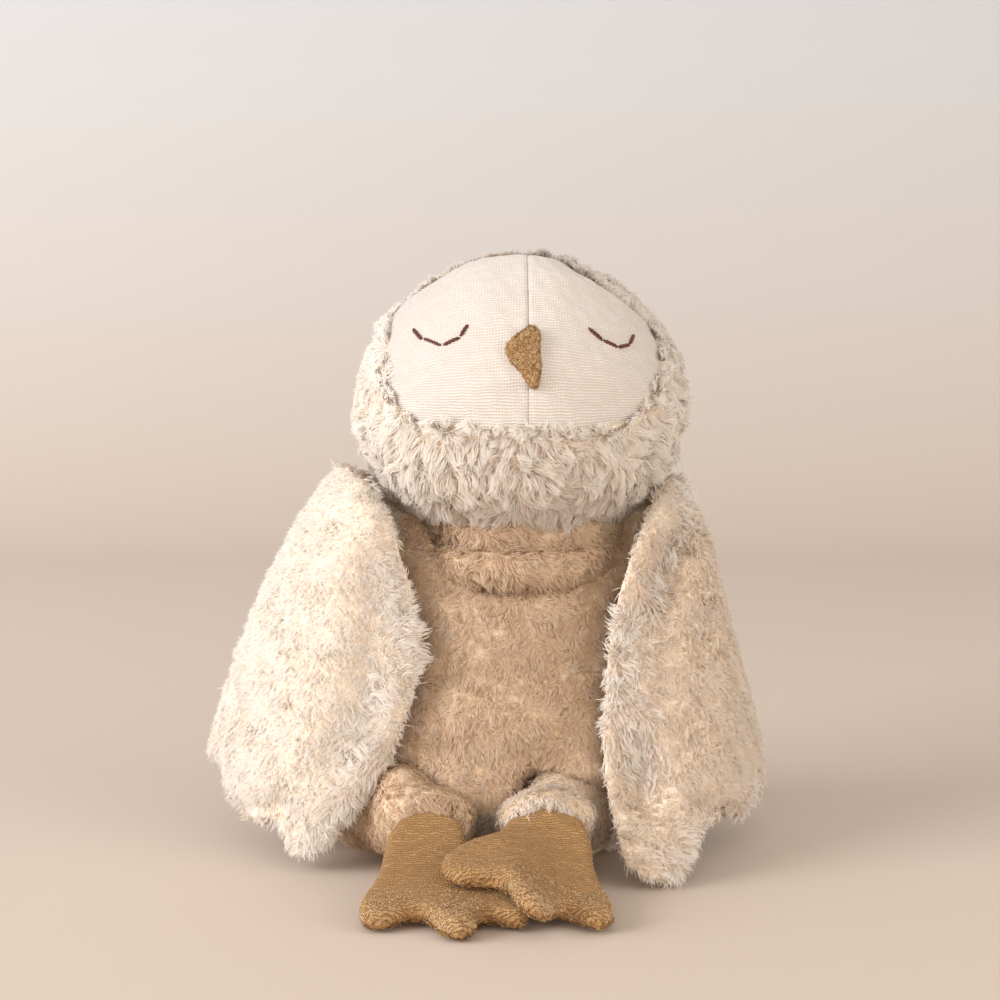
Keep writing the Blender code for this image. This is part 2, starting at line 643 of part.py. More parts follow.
def foot_mesh(name, side, low, high):
    """One layer of a foot between two heights, flat, then bent down to the toes."""
    shares = left_foot_shares if side == "left" else right_foot_shares
    middle_x = LEFT_FOOT_X if side == "left" else RIGHT_FOOT_X
    points = [(x * FOOT_WIDTH, y * FOOT_LENGTH) for x, y in shares]
    mesh = outline_curve(name, points, FOOT_THICK / 2, FOOT_EDGE, 2)
    form = bmesh.new()
    form.from_mesh(mesh)
    for height, away in ((low, (0.0, 0.0, -1.0)), (high, (0.0, 0.0, 1.0))):
        cut = bmesh.ops.bisect_plane(form, geom=form.verts[:] + form.edges[:] + form.faces[:],
                                     plane_co=(0.0, 0.0, height), plane_no=away, clear_outer=True)
        rim = [item for item in cut["geom_cut"] if isinstance(item, bmesh.types.BMEdge)]
        if rim:
            bmesh.ops.contextual_create(form, geom=rim)
    slices = 6
    for axis, size in ((1, FOOT_LENGTH), (0, FOOT_WIDTH)):
        for step in range(1, slices):
            spot = [0.0, 0.0, 0.0]
            spot[axis] = size * step / slices - (FOOT_WIDTH / 2 if axis == 0 else 0.0)
            normal = [0.0, 0.0, 0.0]
            normal[axis] = 1.0
            bmesh.ops.bisect_plane(form, geom=form.verts[:] + form.edges[:] + form.faces[:],
                                   plane_co=spot, plane_no=normal)
    bmesh.ops.triangulate(form, faces=form.faces, quad_method="BEAUTY", ngon_method="BEAUTY")
    for point in form.verts:
        across, along, height = point.co
        y, z, slope = foot_path(along)
        x = middle_x + across
        lift = cross_lift(x, along) if side == "right" else 0.0
        y += ANKLE_Y - math.sin(slope) * height
        z += ANKLE_Z + math.cos(slope) * height + lift
        point.co = (x, y, z)
    bmesh.ops.recalc_face_normals(form, faces=form.faces)
    form.to_mesh(mesh)
    form.free()
    return mesh


def make_foot(side):
    for layer, low, high in (("upper", GAP / 2, FOOT_THICK), ("sole", -FOOT_THICK, -GAP / 2)):
        name = "foot_%s_%s" % (side, layer)
        piece = add_mesh(name, foot_mesh(name, side, low, high), "terry")
        set_origin(piece, ankle_of(side))


# Wings

def wing_axis(side):
    """The line along Y that a wing lifts on, seated on the body's shoulder."""
    rise, wide, _, _ = smooth_at(body_station_shares, shoulder_station_share)
    outward = -1 if side == "left" else 1
    reach = ROOT_RADIUS[side] - ROOT_SINK
    x = outward * (wide * BODY_HALF_WIDTH + reach * math.cos(ROOT_ANGLE[side]))
    z = rise * BODY_HEIGHT + reach * math.sin(ROOT_ANGLE[side])
    return (x + BODY_LEAN_X * rise, ROOT_Y, z)


def wing_root(name, side, grow):
    """The gathered root of a wing, round about the line it lifts on."""
    radius = ROOT_RADIUS[side] + grow
    return spheroid(name, wing_axis(side), (radius, ROOT_HALF_LENGTH + grow, radius), 14, 8, axis="Y")


def wing_point(side, across, down):
    """A point of a wing's middle layer, across from front to back, down from the shoulder."""
    rows = left_wing_shares if side == "left" else right_wing_shares
    keys = [smooth_at(row, across) for row in rows]
    x, y, z = smooth_at(keys, down)
    notch = max(1 - abs(across - spot) / SCALLOP_SPREAD_SHARE for spot in wing_notch_shares[side])
    raise_hem = WING_SCALLOP * max(notch, 0.0) ** 1.5 * down ** HEM_EASE
    axis = wing_axis(side)
    z = axis[2] + ROOT_RADIUS[side] - z * WING_DROP + raise_hem
    return Vector((axis[0] - x * WING_REACH, y * WING_WRAP, z))


def wing_layer(name, side, offset, thick, finish):
    """One cloth layer of a wing, thick in its middle and thin at its sewn edge."""
    cells = 11
    form = bmesh.new()
    bmesh.ops.create_grid(form, x_segments=cells, y_segments=cells, size=0.5)
    edge_points = []
    for point in form.verts:
        across = point.co.x + 0.5
        down = 0.5 - point.co.y
        rim = min(across, 1 - across, down, 1 - down)
        edge_points.append(min(rim / wing_rim_share, 1.0))
        point.co = wing_point(side, across, down)
    bmesh.ops.recalc_face_normals(form, faces=form.faces)
    form.normal_update()
    outward = -1 if side == "left" else 1
    facing = sum(face.normal.x * face.calc_area() for face in form.faces)
    if facing * outward < 0:
        bmesh.ops.reverse_faces(form, faces=form.faces)
        form.normal_update()
    normals = [point.normal.copy() for point in form.verts]
    for point, normal in zip(form.verts, normals):
        point.co += normal * offset
    mesh = bpy.data.meshes.new(name)
    form.to_mesh(mesh)
    form.free()
    piece = add_mesh(name, mesh, finish)
    group = piece.vertex_groups.new(name="thickness")
    for number, weight in enumerate(edge_points):
        group.add([number], weight, "REPLACE")
    wall = piece.modifiers.new("wall", "SOLIDIFY")
    wall.thickness = thick
    wall.offset = 1.0 if offset > 0 else -1.0
    wall.vertex_group = "thickness"
    wall.thickness_vertex_group = WING_EDGE_SHARE
    return piece


def make_wing(side, clear_of):
    plush = wing_layer("wing_%s_plush" % side, side, GAP, WING_PLUSH, "plush")
    lining = wing_layer("wing_%s_lining" % side, side, -GAP, WING_LINING, "plush")
    for cutter in clear_of:
        boolean(lining, cutter)
        boolean(plush, cutter)
    boolean(lining, wing_root("join_%s_root" % side, side, 0.0), "UNION")
    boolean(plush, wing_root("cut_plush_%s_root" % side, side, GAP))
    for layer in (plush, lining):
        set_origin(layer, wing_axis(side))


clear_scene()
OWL = new_collection("plush_owl")
CUTTERS = new_collection("cutters")
pieces_on_head = []

make_head()
make_beak()
make_eye("left", LEFT_EYE_X, LEFT_EYE_SPAN, LEFT_EYE_TURN)
make_eye("right", RIGHT_EYE_X, RIGHT_EYE_SPAN, RIGHT_EYE_TURN)
make_collar()
make_body(body_cutters())
for side in SIDES:
    make_leg(side)
    make_foot(side)
wing_clear = [body_form("cut_wings_off_body", GAP)]
for side in SIDES:
    make_wing(side, wing_clear)
for piece in pieces_on_head:
    set_origin(piece, HEAD_CENTRE)
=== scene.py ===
# %% [markdown]
# # A sleeping plush owl
#
# The real toy is sewn from three cloths. Long cream plush covers the head, the body, the
# legs and the wings. A ribbed velour, short and smooth, makes the sleeping face. Ochre terry,
# full of small loops, makes the feet and the beak. This lesson dresses the plain solids of
# the model in those cloths, piece by piece, and grows the pile strand by strand.

# %% Load the model
import math

import bmesh
import bpy
import numpy as np
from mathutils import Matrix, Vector, kdtree
from mathutils.bvhtree import BVHTree


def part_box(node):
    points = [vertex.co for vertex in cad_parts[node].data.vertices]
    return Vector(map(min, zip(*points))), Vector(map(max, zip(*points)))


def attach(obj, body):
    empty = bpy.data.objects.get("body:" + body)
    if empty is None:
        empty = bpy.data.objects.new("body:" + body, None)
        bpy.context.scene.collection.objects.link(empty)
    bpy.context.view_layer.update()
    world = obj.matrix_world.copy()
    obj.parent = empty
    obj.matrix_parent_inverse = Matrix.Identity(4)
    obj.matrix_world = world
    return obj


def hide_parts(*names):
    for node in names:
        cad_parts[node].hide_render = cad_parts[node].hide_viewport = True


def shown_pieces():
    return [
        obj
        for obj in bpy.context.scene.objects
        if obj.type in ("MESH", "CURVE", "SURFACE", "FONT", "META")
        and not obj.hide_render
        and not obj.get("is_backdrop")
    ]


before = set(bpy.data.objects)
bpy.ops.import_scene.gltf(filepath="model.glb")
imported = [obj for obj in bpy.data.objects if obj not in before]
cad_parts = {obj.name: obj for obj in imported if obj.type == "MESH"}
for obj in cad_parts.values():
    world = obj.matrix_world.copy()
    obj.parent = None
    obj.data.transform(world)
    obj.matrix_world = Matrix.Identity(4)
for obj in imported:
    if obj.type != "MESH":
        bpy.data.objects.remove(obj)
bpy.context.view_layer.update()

MM = 0.001
SIDES = ("left", "right")

# %% [markdown]
# ## Shader helpers
#
# A material is a small network of nodes. These helpers add the nodes and feed their sockets,
# so that the cells below can say what a cloth looks like in a few lines.

# %% Helpers for node groups and materials
ANY_COLOUR = (1.0, 1.0, 1.0, 1.0)
MIX_INPUTS = (0, 6, 7)
MIX_RESULT = 2
SPECULAR_LEVEL = 0.25
SHEEN_ROUGHNESS = 0.45


def add_node(tree, kind, **settings):
    """A node of the tree, with its settings."""
    node = tree.nodes.new("ShaderNode" + kind)
    for label, value in settings.items():
        setattr(node, label, value)
    return node


def feed(tree, value, socket):
    """Link a value to a socket, or write it there if it is a number or a colour."""
    if isinstance(value, (int, float, tuple)):
        socket.default_value = value
    else:
        tree.links.new(value, socket)


def sums(tree, operation, *values):
    """A Math node on sockets or numbers."""
    node = add_node(tree, "Math", operation=operation)
    for value, socket in zip(values, node.inputs):
        feed(tree, value, socket)
    return node.outputs[0]


def blend_colours(tree, factor, first, second):
    """A colour between two sockets or colours."""
    node = add_node(tree, "Mix", data_type="RGBA")
    for number, value in zip(MIX_INPUTS, (factor, first, second)):
        feed(tree, value, node.inputs[number])
    return node.outputs[MIX_RESULT]


def noise(tree, place, scale, detail=2.0):
    """A noise from 0 to 1 with about so many features a metre."""
    node = add_node(tree, "TexNoise")
    for label, value in (("Vector", place), ("Scale", scale), ("Detail", detail)):
        feed(tree, value, node.inputs[label])
    return node.outputs["Fac"]


def drift_by(tree, reach, value):
    """A noise moved to lie about 0 and scaled to a reach in metres."""
    return sums(tree, "MULTIPLY", sums(tree, "SUBTRACT", value, 0.5), reach)


def wave(tree, place, drift, per_metre):
    """A wave from 0 to 2 that rises so many times a metre."""
    turns = sums(tree, "MULTIPLY", sums(tree, "ADD", place, drift), per_metre)
    return sums(tree, "ADD", sums(tree, "SINE", sums(tree, "MULTIPLY", turns, math.tau)), 1.0)


def new_group(name, inputs, outputs=("Colour", "Height")):
    """A shader group with inputs (name: first value), its entry node and its exit node."""
    group = bpy.data.node_groups.new(name, "ShaderNodeTree")
    for label, value in inputs.items():
        kind = "NodeSocketFloat" if isinstance(value, float) else "NodeSocketColor"
        socket = group.interface.new_socket(name=label, in_out="INPUT", socket_type=kind)
        socket.default_value = value
    for label in outputs:
        kind = "NodeSocketColor" if label == "Colour" else "NodeSocketFloat"
        group.interface.new_socket(name=label, in_out="OUTPUT", socket_type=kind)
    return group, group.nodes.new("NodeGroupInput"), group.nodes.new("NodeGroupOutput")


def new_cloth(name, rough, sheen, sheen_tint, group, values, height=None):
    """A cloth material: the group's Colour feeds the shader, its Height a bump in metres.

    The sheen is the cloth's soft edge light."""
    made = bpy.data.materials.new(name)
    made.use_nodes = True
    tree = made.node_tree
    shader = tree.nodes["Principled BSDF"]
    look = add_node(tree, "Group", node_tree=group)
    settings = {"Roughness": rough, "Specular IOR Level": SPECULAR_LEVEL, "Sheen Weight": sheen,
                "Sheen Roughness": SHEEN_ROUGHNESS, "Sheen Tint": sheen_tint}
    for node, inputs in ((shader, settings), (look, values)):
        for label, value in inputs.items():
            node.inputs[label].default_value = value
    tree.links.new(look.outputs["Colour"], shader.inputs["Base Color"])
    if height:
        bump = add_node(tree, "Bump")
        bump.inputs["Strength"].default_value = 1.0
        bump.inputs["Distance"].default_value = height
        tree.links.new(look.outputs["Height"], bump.inputs["Height"])
        tree.links.new(bump.outputs["Normal"], shader.inputs["Normal"])
    return made


print("helpers ready")

# %% [markdown]
# ## Camera, floor and light
#
# A toy is photographed from a little above, from about its own arm's length away. The camera
# is turned down by a few degrees and nothing is shifted, so other views keep the same lens.
# The floor and the wall are one sheet with a rounded corner, as in a small studio.

# %% Camera
CAMERA_PLACE = Vector((0.0, -0.83, 0.236))
CAMERA_PITCH = math.radians(6.5)
FIELD_OF_VIEW = math.radians(28.0)
PICTURE_SIDE = 1000

bpy.ops.object.select_all(action="DESELECT")
bpy.ops.object.camera_add(location=CAMERA_PLACE, rotation=(math.pi / 2 - CAMERA_PITCH, 0.0, 0.0))
camera = bpy.context.object
camera.data.angle = FIELD_OF_VIEW
camera.data.clip_start = 0.01
bpy.context.scene.camera = camera
bpy.context.scene.view_settings.view_transform = "Standard"

FOCAL_PIXELS = PICTURE_SIDE / 2 / math.tan(FIELD_OF_VIEW / 2)
VIEW_RIGHT = Vector((1.0, 0.0, 0.0))
VIEW_UP = Vector((0.0, math.sin(CAMERA_PITCH), math.cos(CAMERA_PITCH)))
VIEW_AHEAD = Vector((0.0, math.cos(CAMERA_PITCH), -math.sin(CAMERA_PITCH)))


def sight_line(pixel):
    """The direction from the camera through a pixel of the photograph."""
    half = PICTURE_SIDE / 2
    across = (pixel[0] - half) / FOCAL_PIXELS
    rise = (half - pixel[1]) / FOCAL_PIXELS
    return (VIEW_AHEAD + VIEW_RIGHT * across + VIEW_UP * rise).normalized()


print("camera looks down", round(math.degrees(CAMERA_PITCH), 1), "degrees")

# %% Floor and wall in one sheet
STUDIO_HALF = 5.0
WALL_Y = 1.35
WALL_HEIGHT = 2.4
CORNER_RADIUS = 0.55
WALL_PALE = (0.58, 0.615, 0.665, 1.0)
FLOOR_PALE = (0.57, 0.49, 0.43, 1.0)
CORNER_STEPS = 24
PAPER_ROUGHNESS = 0.9

bpy.ops.object.select_all(action="DESELECT")
bpy.ops.mesh.primitive_plane_add(size=1.0)
studio = bpy.context.object
studio.name = "studio_sheet"
bpy.ops.object.mode_set(mode="EDIT")
bpy.ops.transform.resize(value=(STUDIO_HALF * 2, STUDIO_HALF + WALL_Y, 1.0))
bpy.ops.transform.translate(value=(0.0, (WALL_Y - STUDIO_HALF) / 2, 0.0))
bpy.ops.mesh.select_all(action="DESELECT")
bpy.ops.object.mode_set(mode="OBJECT")
for edge in studio.data.edges:
    edge.select = all(studio.data.vertices[v].co.y > WALL_Y - MM for v in edge.vertices)
bpy.ops.object.mode_set(mode="EDIT")
bpy.ops.mesh.select_mode(type="EDGE")
bpy.ops.mesh.extrude_region_move(TRANSFORM_OT_translate={"value": (0.0, 0.0, WALL_HEIGHT)})
bpy.ops.mesh.select_mode(type="VERT")
bpy.ops.object.mode_set(mode="OBJECT")
corner = studio.modifiers.new("corner", "BEVEL")
corner.width = CORNER_RADIUS
corner.segments = CORNER_STEPS
bpy.ops.object.modifier_apply(modifier="corner")
bpy.ops.object.shade_smooth()
paper = bpy.data.materials.new("studio_paper")
paper.use_nodes = True
tree = paper.node_tree
shader = tree.nodes["Principled BSDF"]
shader.inputs["Roughness"].default_value = PAPER_ROUGHNESS
place = add_node(tree, "TexCoord").outputs["Object"]
axes = add_node(tree, "SeparateXYZ")
rise = add_node(tree, "MapRange")
rise.inputs["From Max"].default_value = CORNER_RADIUS
tree.links.new(place, axes.inputs[0])
tree.links.new(axes.outputs["Z"], rise.inputs["Value"])
pale = blend_colours(tree, rise.outputs[0], FLOOR_PALE, WALL_PALE)
tree.links.new(pale, shader.inputs["Base Color"])
studio.data.materials.append(paper)
studio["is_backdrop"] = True
print("studio sheet", len(studio.data.polygons), "faces")

# %% Soft light from the left and a plain room
KEY_PLACE = Vector((-1.92, -0.86, 0.82))
KEY_TARGET = Vector((0.0, 0.0, 0.11))
KEY_SIDE = 1.40
KEY_POWER = 55.0
KEY_COLOUR = (1.0, 0.98, 0.96)
SIDE_PLACE = Vector((1.35, -0.85, 0.55))
SIDE_SIZE = 1.0
SIDE_POWER = 10.5
SIDE_COLOUR = (1.0, 0.93, 0.84)
TABLE_PLACE = Vector((0.0, -1.10, 0.06))
TABLE_TARGET = Vector((0.0, 0.0, 0.08))
TABLE_SIZE = 0.60
TABLE_POWER = 3.7
TABLE_COLOUR = (1.0, 0.80, 0.62)
ROOM_STRENGTH = 0.80
ROOM_COLOUR = (1.0, 0.90, 0.80, 1.0)
LIGHT_BOUNCES = 12
PILE_BOUNCES = 8


def lamp(name, place, target, side, power, colour):
    """A square soft lamp that looks at a point."""
    bpy.ops.object.light_add(type="AREA", location=place)
    made = bpy.context.object
    made.name = name
    made.rotation_euler = (target - place).to_track_quat("-Z", "Y").to_euler()
    made.data.size = side
    made.data.energy = power
    made.data.color = colour
    made.visible_camera = False
    return made


lamp("window_light", KEY_PLACE, KEY_TARGET, KEY_SIDE, KEY_POWER, KEY_COLOUR)
lamp("warm_side", SIDE_PLACE, KEY_TARGET, SIDE_SIZE, SIDE_POWER, SIDE_COLOUR)
lamp("table_bounce", TABLE_PLACE, TABLE_TARGET, TABLE_SIZE, TABLE_POWER, TABLE_COLOUR)
room = bpy.data.worlds.new("room")
room.use_nodes = True
room.node_tree.nodes["Background"].inputs["Color"].default_value = ROOM_COLOUR
room.node_tree.nodes["Background"].inputs["Strength"].default_value = ROOM_STRENGTH
bpy.context.scene.world = room
bpy.context.scene.cycles.max_bounces = LIGHT_BOUNCES
bpy.context.scene.cycles.diffuse_bounces = PILE_BOUNCES
print("lamp", KEY_POWER, "W, room", ROOM_STRENGTH)

# %% [markdown]
# ## Materials
#
# Every cloth has one node group that works out its colour and its height from the cloth's own
# map, and a material that holds the shader. Pile is lit at its tips and shaded between its
# roots, and that shade is painted into its colour, which runs along each strand. Knitted velour
# has ribs with fine stitches in them, and painted shade in its grooves. Terry has painted shade
# between its loops.

# %% Pile: colour along the strand
# The root colour is painted shade deep in the pile; ROOT_SPREAD sets how soon it gives way to the tip colours
# up each strand.
ROOT_SPREAD = 0.4
LET_THROUGH = 0.5
PILE_SHEEN = (1.0, 0.95, 0.88, 1.0)
pile_inputs = dict.fromkeys(("Shaded Root", "Tip", "Dull And Shaded Tip"), ANY_COLOUR)
tree, entry, leave = new_group("pile_colour", pile_inputs, ["Colour"])
pile_group = tree
strand_map = add_node(tree, "UVMap", uv_map="OFBake")
split = add_node(tree, "SeparateXYZ")
tree.links.new(strand_map.outputs[0], split.inputs[0])
tips = blend_colours(tree, split.outputs[0], entry.outputs["Dull And Shaded Tip"], entry.outputs["Tip"])
eased = sums(tree, "POWER", split.outputs[1], ROOT_SPREAD)
tree.links.new(blend_colours(tree, eased, entry.outputs["Shaded Root"], tips), leave.inputs[0])


def new_pile(name, root, tip, dull_and_shaded_tip, rough):
    """Strands of one cloth: they send back part of the light and let the rest through."""
    colours = {"Shaded Root": (*root, 1.0), "Tip": (*tip, 1.0), "Dull And Shaded Tip": (*dull_and_shaded_tip, 1.0)}
    made = new_cloth(name, rough, 0.15, PILE_SHEEN, pile_group, colours)
    tree = made.node_tree
    shader = tree.nodes["Principled BSDF"]
    through = add_node(tree, "BsdfTranslucent")
    both = add_node(tree, "MixShader")
    feed(tree, shader.inputs["Base Color"].links[0].from_socket, through.inputs["Color"])
    for value, socket in zip((LET_THROUGH, shader.outputs[0], through.outputs[0]), both.inputs):
        feed(tree, value, socket)
    feed(tree, both.outputs[0], tree.nodes["Material Output"].inputs["Surface"])
    return made


# Each pile's first colour is painted shade between the strands' roots.
plush = new_pile("long_plush_pile",
                 (0.82, 0.68, 0.54), (0.972, 0.965, 0.952), (0.76, 0.61, 0.46), 0.72)
loop_pile = new_pile("ochre_terry_loops",
                     (0.34, 0.18, 0.065), (0.90, 0.72, 0.47), (0.50, 0.31, 0.13), 0.8)
print("pile group", len(pile_group.nodes), "nodes")

# %% Backing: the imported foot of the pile, seen only between strands
light_and_dark = dict.fromkeys(("Light", "Dark"), ANY_COLOUR)
tree, entry, leave = new_group("backing_cloth", {**light_and_dark, "Grain": 900.0})
backing_group = tree
place = add_node(tree, "TexCoord").outputs["Object"]
grain = noise(tree, place, entry.outputs["Grain"], 4.0)
colour = blend_colours(tree, grain, entry.outputs["Dark"], entry.outputs["Light"])
tree.links.new(colour, leave.inputs["Colour"])
tree.links.new(grain, leave.inputs["Height"])

WARM_SHEEN = (1.0, 0.93, 0.85, 1.0)
WHITE_SHEEN = (1.0, 1.0, 1.0, 1.0)
PACKED = {
    "packed_pile":
        (0.9, 0.2, WARM_SHEEN, (0.90, 0.81, 0.70), (0.79, 0.66, 0.52), 900.0, 1.2 * MM),
    # A darker copy of the backing: painted shade under the body's, the neck's and the legs' pile.
    "packed_pile_shaded":
        (0.9, 0.2, WARM_SHEEN, (0.74, 0.60, 0.45), (0.62, 0.47, 0.33), 900.0, 1.2 * MM),
    "polyester_filling":
        (0.95, 0.1, WARM_SHEEN, (0.92, 0.87, 0.79), (0.82, 0.74, 0.63), 260.0, 1.5 * MM),
    "bean_bag_cotton":
        (0.9, 0.1, WHITE_SHEEN, (0.80, 0.76, 0.68), (0.62, 0.57, 0.49), 420.0, 0.6 * MM),
}


def packed_cloth(name):
    """One row of the table as a material."""
    rough, sheen, tint, light, dark, grain, height = PACKED[name]
    looks = {"Light": (*light, 1.0), "Dark": (*dark, 1.0), "Grain": grain}
    return new_cloth(name, rough, sheen, tint, backing_group, looks, height)


backing, shaded_backing, filling, bean_cotton = (packed_cloth(name) for name in PACKED)
print("backing, filling and cotton")

# %% Terry ground: rows of loops worn flat
ROW_DRIFT = 3.4 * MM
ROW_TILT = 0.6
tree, entry, leave = new_group(
    "terry_rows", {**light_and_dark, "Rows per m": 800.0, "Loops per m": 1000.0})
rows_group = tree
place = add_node(tree, "TexCoord").outputs["Object"]
axes = add_node(tree, "SeparateXYZ")
tree.links.new(place, axes.inputs[0])
drift = drift_by(tree, ROW_DRIFT, noise(tree, place, 240.0, 6.0))
ahead = sums(tree, "ADD", axes.outputs[1], sums(tree, "MULTIPLY", axes.outputs[2], ROW_TILT))
row_wave = wave(tree, ahead, drift, entry.outputs["Rows per m"])
loop_wave = wave(tree, axes.outputs[0], drift, entry.outputs["Loops per m"])
rows = sums(tree, "MULTIPLY", row_wave, 0.42)
bumps = sums(tree, "MULTIPLY", loop_wave, 0.08)
height = sums(tree, "ADD", rows, bumps)
# The ground's colour follows its height: painted shade where it lies low between rows and loops.
colour = blend_colours(tree, height, entry.outputs["Dark"], entry.outputs["Light"])
tree.links.new(colour, leave.inputs["Colour"])
tree.links.new(height, leave.inputs["Height"])

terry = new_cloth("ochre_terry_ground", 0.9, 0.1, (0.9, 0.75, 0.6, 1.0), rows_group,
                  {"Light": (0.54, 0.325, 0.145, 1.0), "Dark": (0.29, 0.15, 0.052, 1.0)}, 0.9 * MM)
print("terry rows", len(rows_group.nodes), "nodes")

# %% Velour: knitted ribs with stitches
RIB_DRIFT = 2.2 * MM
tree, entry, leave = new_group("knitted_ribs", {
    "Base": ANY_COLOUR, "Groove Shade": ANY_COLOUR,
    "Ribs per m": 830.0, "Stitches per m": 900.0, "Contrast": 0.5})
knit_group = tree
place = add_node(tree, "UVMap", uv_map="cloth").outputs[0]
axes = add_node(tree, "SeparateXYZ")
tree.links.new(place, axes.inputs[0])
drift = drift_by(tree, RIB_DRIFT, noise(tree, place, 140.0, 3.0))
rib_wave = wave(tree, axes.outputs[1], drift, entry.outputs["Ribs per m"])
stitch_wave = wave(tree, axes.outputs[0], drift, entry.outputs["Stitches per m"])
ribs_height = sums(tree, "MULTIPLY", rib_wave, 0.31)
weave = sums(tree, "ADD", ribs_height, sums(tree, "MULTIPLY", stitch_wave, 0.11))
fuzz = sums(tree, "MULTIPLY", noise(tree, place, 2600.0), 0.3)
height = sums(tree, "ADD", weave, fuzz)
# Where the knit lies low its colour goes to the groove shade: painted shade in the grooves between ribs and
# stitches.
depth = sums(tree, "SUBTRACT", 1.0, height)
groove_shade = sums(tree, "MULTIPLY", depth, entry.outputs["Contrast"])
groove_shade = sums(tree, "MINIMUM", sums(tree, "MAXIMUM", groove_shade, 0.0), 1.0)
colour = blend_colours(tree, groove_shade, entry.outputs["Base"], entry.outputs["Groove Shade"])
tree.links.new(colour, leave.inputs["Colour"])
tree.links.new(height, leave.inputs["Height"])

# The groove colour is painted shade.
velour = new_cloth("ribbed_velour", 0.8, 0.3, (1.0, 0.96, 0.9, 1.0), knit_group, {
    "Base": (0.685, 0.71, 0.745, 1.0), "Groove Shade": (0.58, 0.45, 0.33, 1.0), "Contrast": 0.95,
}, 0.4 * MM)
print("knit group", len(knit_group.nodes), "nodes")

# %% Thread: two plies of brown cotton
tree, entry, leave = new_group("twisted_thread", {"Ply": ANY_COLOUR, "Gap": ANY_COLOUR})
thread_group = tree
fibres = noise(tree, add_node(tree, "TexCoord").outputs["Object"], 4200.0)
colour = blend_colours(tree, fibres, entry.outputs["Gap"], entry.outputs["Ply"])
tree.links.new(colour, leave.inputs["Colour"])
tree.links.new(fibres, leave.inputs["Height"])

thread = new_cloth("brown_thread_lit", 0.55, 0.2, (1.0, 0.8, 0.7, 1.0), thread_group, {
    "Ply": (0.17, 0.062, 0.038, 1.0), "Gap": (0.05, 0.016, 0.010, 1.0)}, 0.2 * MM)
print("thread group", len(thread_group.nodes), "nodes")

# %% [markdown]
# ## Shaping tools
#
# Stuffed cloth has no hard corners. Each skin starts as a copy of the model's own solids,
# remade with even small faces and smoothed. Creases are then pressed in where the photograph
# shows them: a crease is drawn as a few pixels, found again on the cloth by sight lines.

# %% Picking, copying and remaking
WELD = 0.01 * MM
WAVE_COUNT = 7
WAVE_HEIGHT = 2.6


def pick(*pieces):
    """Select only these pieces, the last one active."""
    bpy.ops.object.select_all(action="DESELECT")
    for piece in pieces:
        piece.select_set(True)
    bpy.context.view_layer.objects.active = pieces[-1]


def edit(piece, *steps):
    """Run mesh steps in edit mode, each with everything selected."""
    pick(piece)
    bpy.ops.object.mode_set(mode="EDIT")
    for step in steps:
        bpy.ops.mesh.select_all(action="SELECT")
        step()
    bpy.ops.object.mode_set(mode="OBJECT")


def adopt(name, *nodes):
    """Join copies of model nodes into one new piece, with their loose triangles merged."""
    copies = []
    for node in nodes:
        copy = bpy.data.objects.new(name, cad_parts[node].data.copy())
        bpy.context.scene.collection.objects.link(copy)
        copies.append(copy)
    pick(*copies)
    if len(copies) > 1:
        bpy.ops.object.join()
    piece = bpy.context.object
    piece.name = name
    edit(piece, lambda: bpy.ops.mesh.remove_doubles(threshold=WELD))
    piece.data.materials.clear()
    return piece


def keep_outer_shell(piece):
    """Delete every island of faces but the widest one."""
    form = bmesh.new()
    form.from_mesh(piece.data)
    form.verts.ensure_lookup_table()
    seen, islands = set(), []
    for start in form.verts:
        if start in seen:
            continue
        island, front = [], [start]
        seen.add(start)
        while front:
            point = front.pop()
            island.append(point)
            for edge in point.link_edges:
                other = edge.other_vert(point)
                if other not in seen:
                    seen.add(other)
                    front.append(other)
        islands.append(island)
    islands.sort(key=len)
    for island in islands[:-1]:
        bmesh.ops.delete(form, geom=island, context="VERTS")
    form.to_mesh(piece.data)
    form.free()


def apply(piece, name, kind, **settings):
    """Add a modifier to a piece and apply it at once."""
    pick(piece)
    step = piece.modifiers.new(name, kind)
    for label, value in settings.items():
        setattr(step, label, value)
    bpy.ops.object.modifier_apply(modifier=name)


def remake(piece, voxel, rounds):
    """Even small faces all over, smoothed."""
    pick(piece)
    piece.data.remesh_voxel_size = voxel
    bpy.ops.object.voxel_remesh()
    keep_outer_shell(piece)
    apply(piece, "soften", "SMOOTH", factor=0.5, iterations=rounds)
    bpy.ops.object.shade_smooth()
    return piece


def points_of(piece, label="co"):
    """The places of a piece's vertices, or with the label normal their normals."""
    values = np.empty(len(piece.data.vertices) * 3)
    piece.data.vertices.foreach_get(label, values)
    return values.reshape(-1, 3)


def set_points(piece, co):
    piece.data.vertices.foreach_set("co", np.ascontiguousarray(co, dtype=np.float64).ravel())
    piece.data.update()


def tree_of(piece):
    """The piece's faces, ready for sight lines."""
    form = bmesh.new()
    form.from_mesh(piece.data)
    made = BVHTree.FromBMesh(form)
    form.free()
    return made


def seen_on(faces, pixel):
    """The point of a piece that a pixel of the photograph shows, or the nearest to it."""
    along = sight_line(pixel)
    hit = faces.ray_cast(CAMERA_PLACE, along)[0]
    if hit is None:
        spot = CAMERA_PLACE + along * -CAMERA_PLACE.y / along.y
        hit = faces.find_nearest(spot)[0]
    return hit


def to_line(points, line):
    """Distance of every point to the nearest stretch of a line of places."""
    best = np.full(len(points), 1e9)
    for start, end in zip(line[:-1], line[1:]):
        start, end = np.array(start), np.array(end)
        along = end - start
        share = np.clip((points - start) @ along / max(along @ along, 1e-12), 0.0, 1.0)
        gap = np.linalg.norm(points - start - share[:, None] * along, axis=1)
        best = np.minimum(best, gap)
    return best


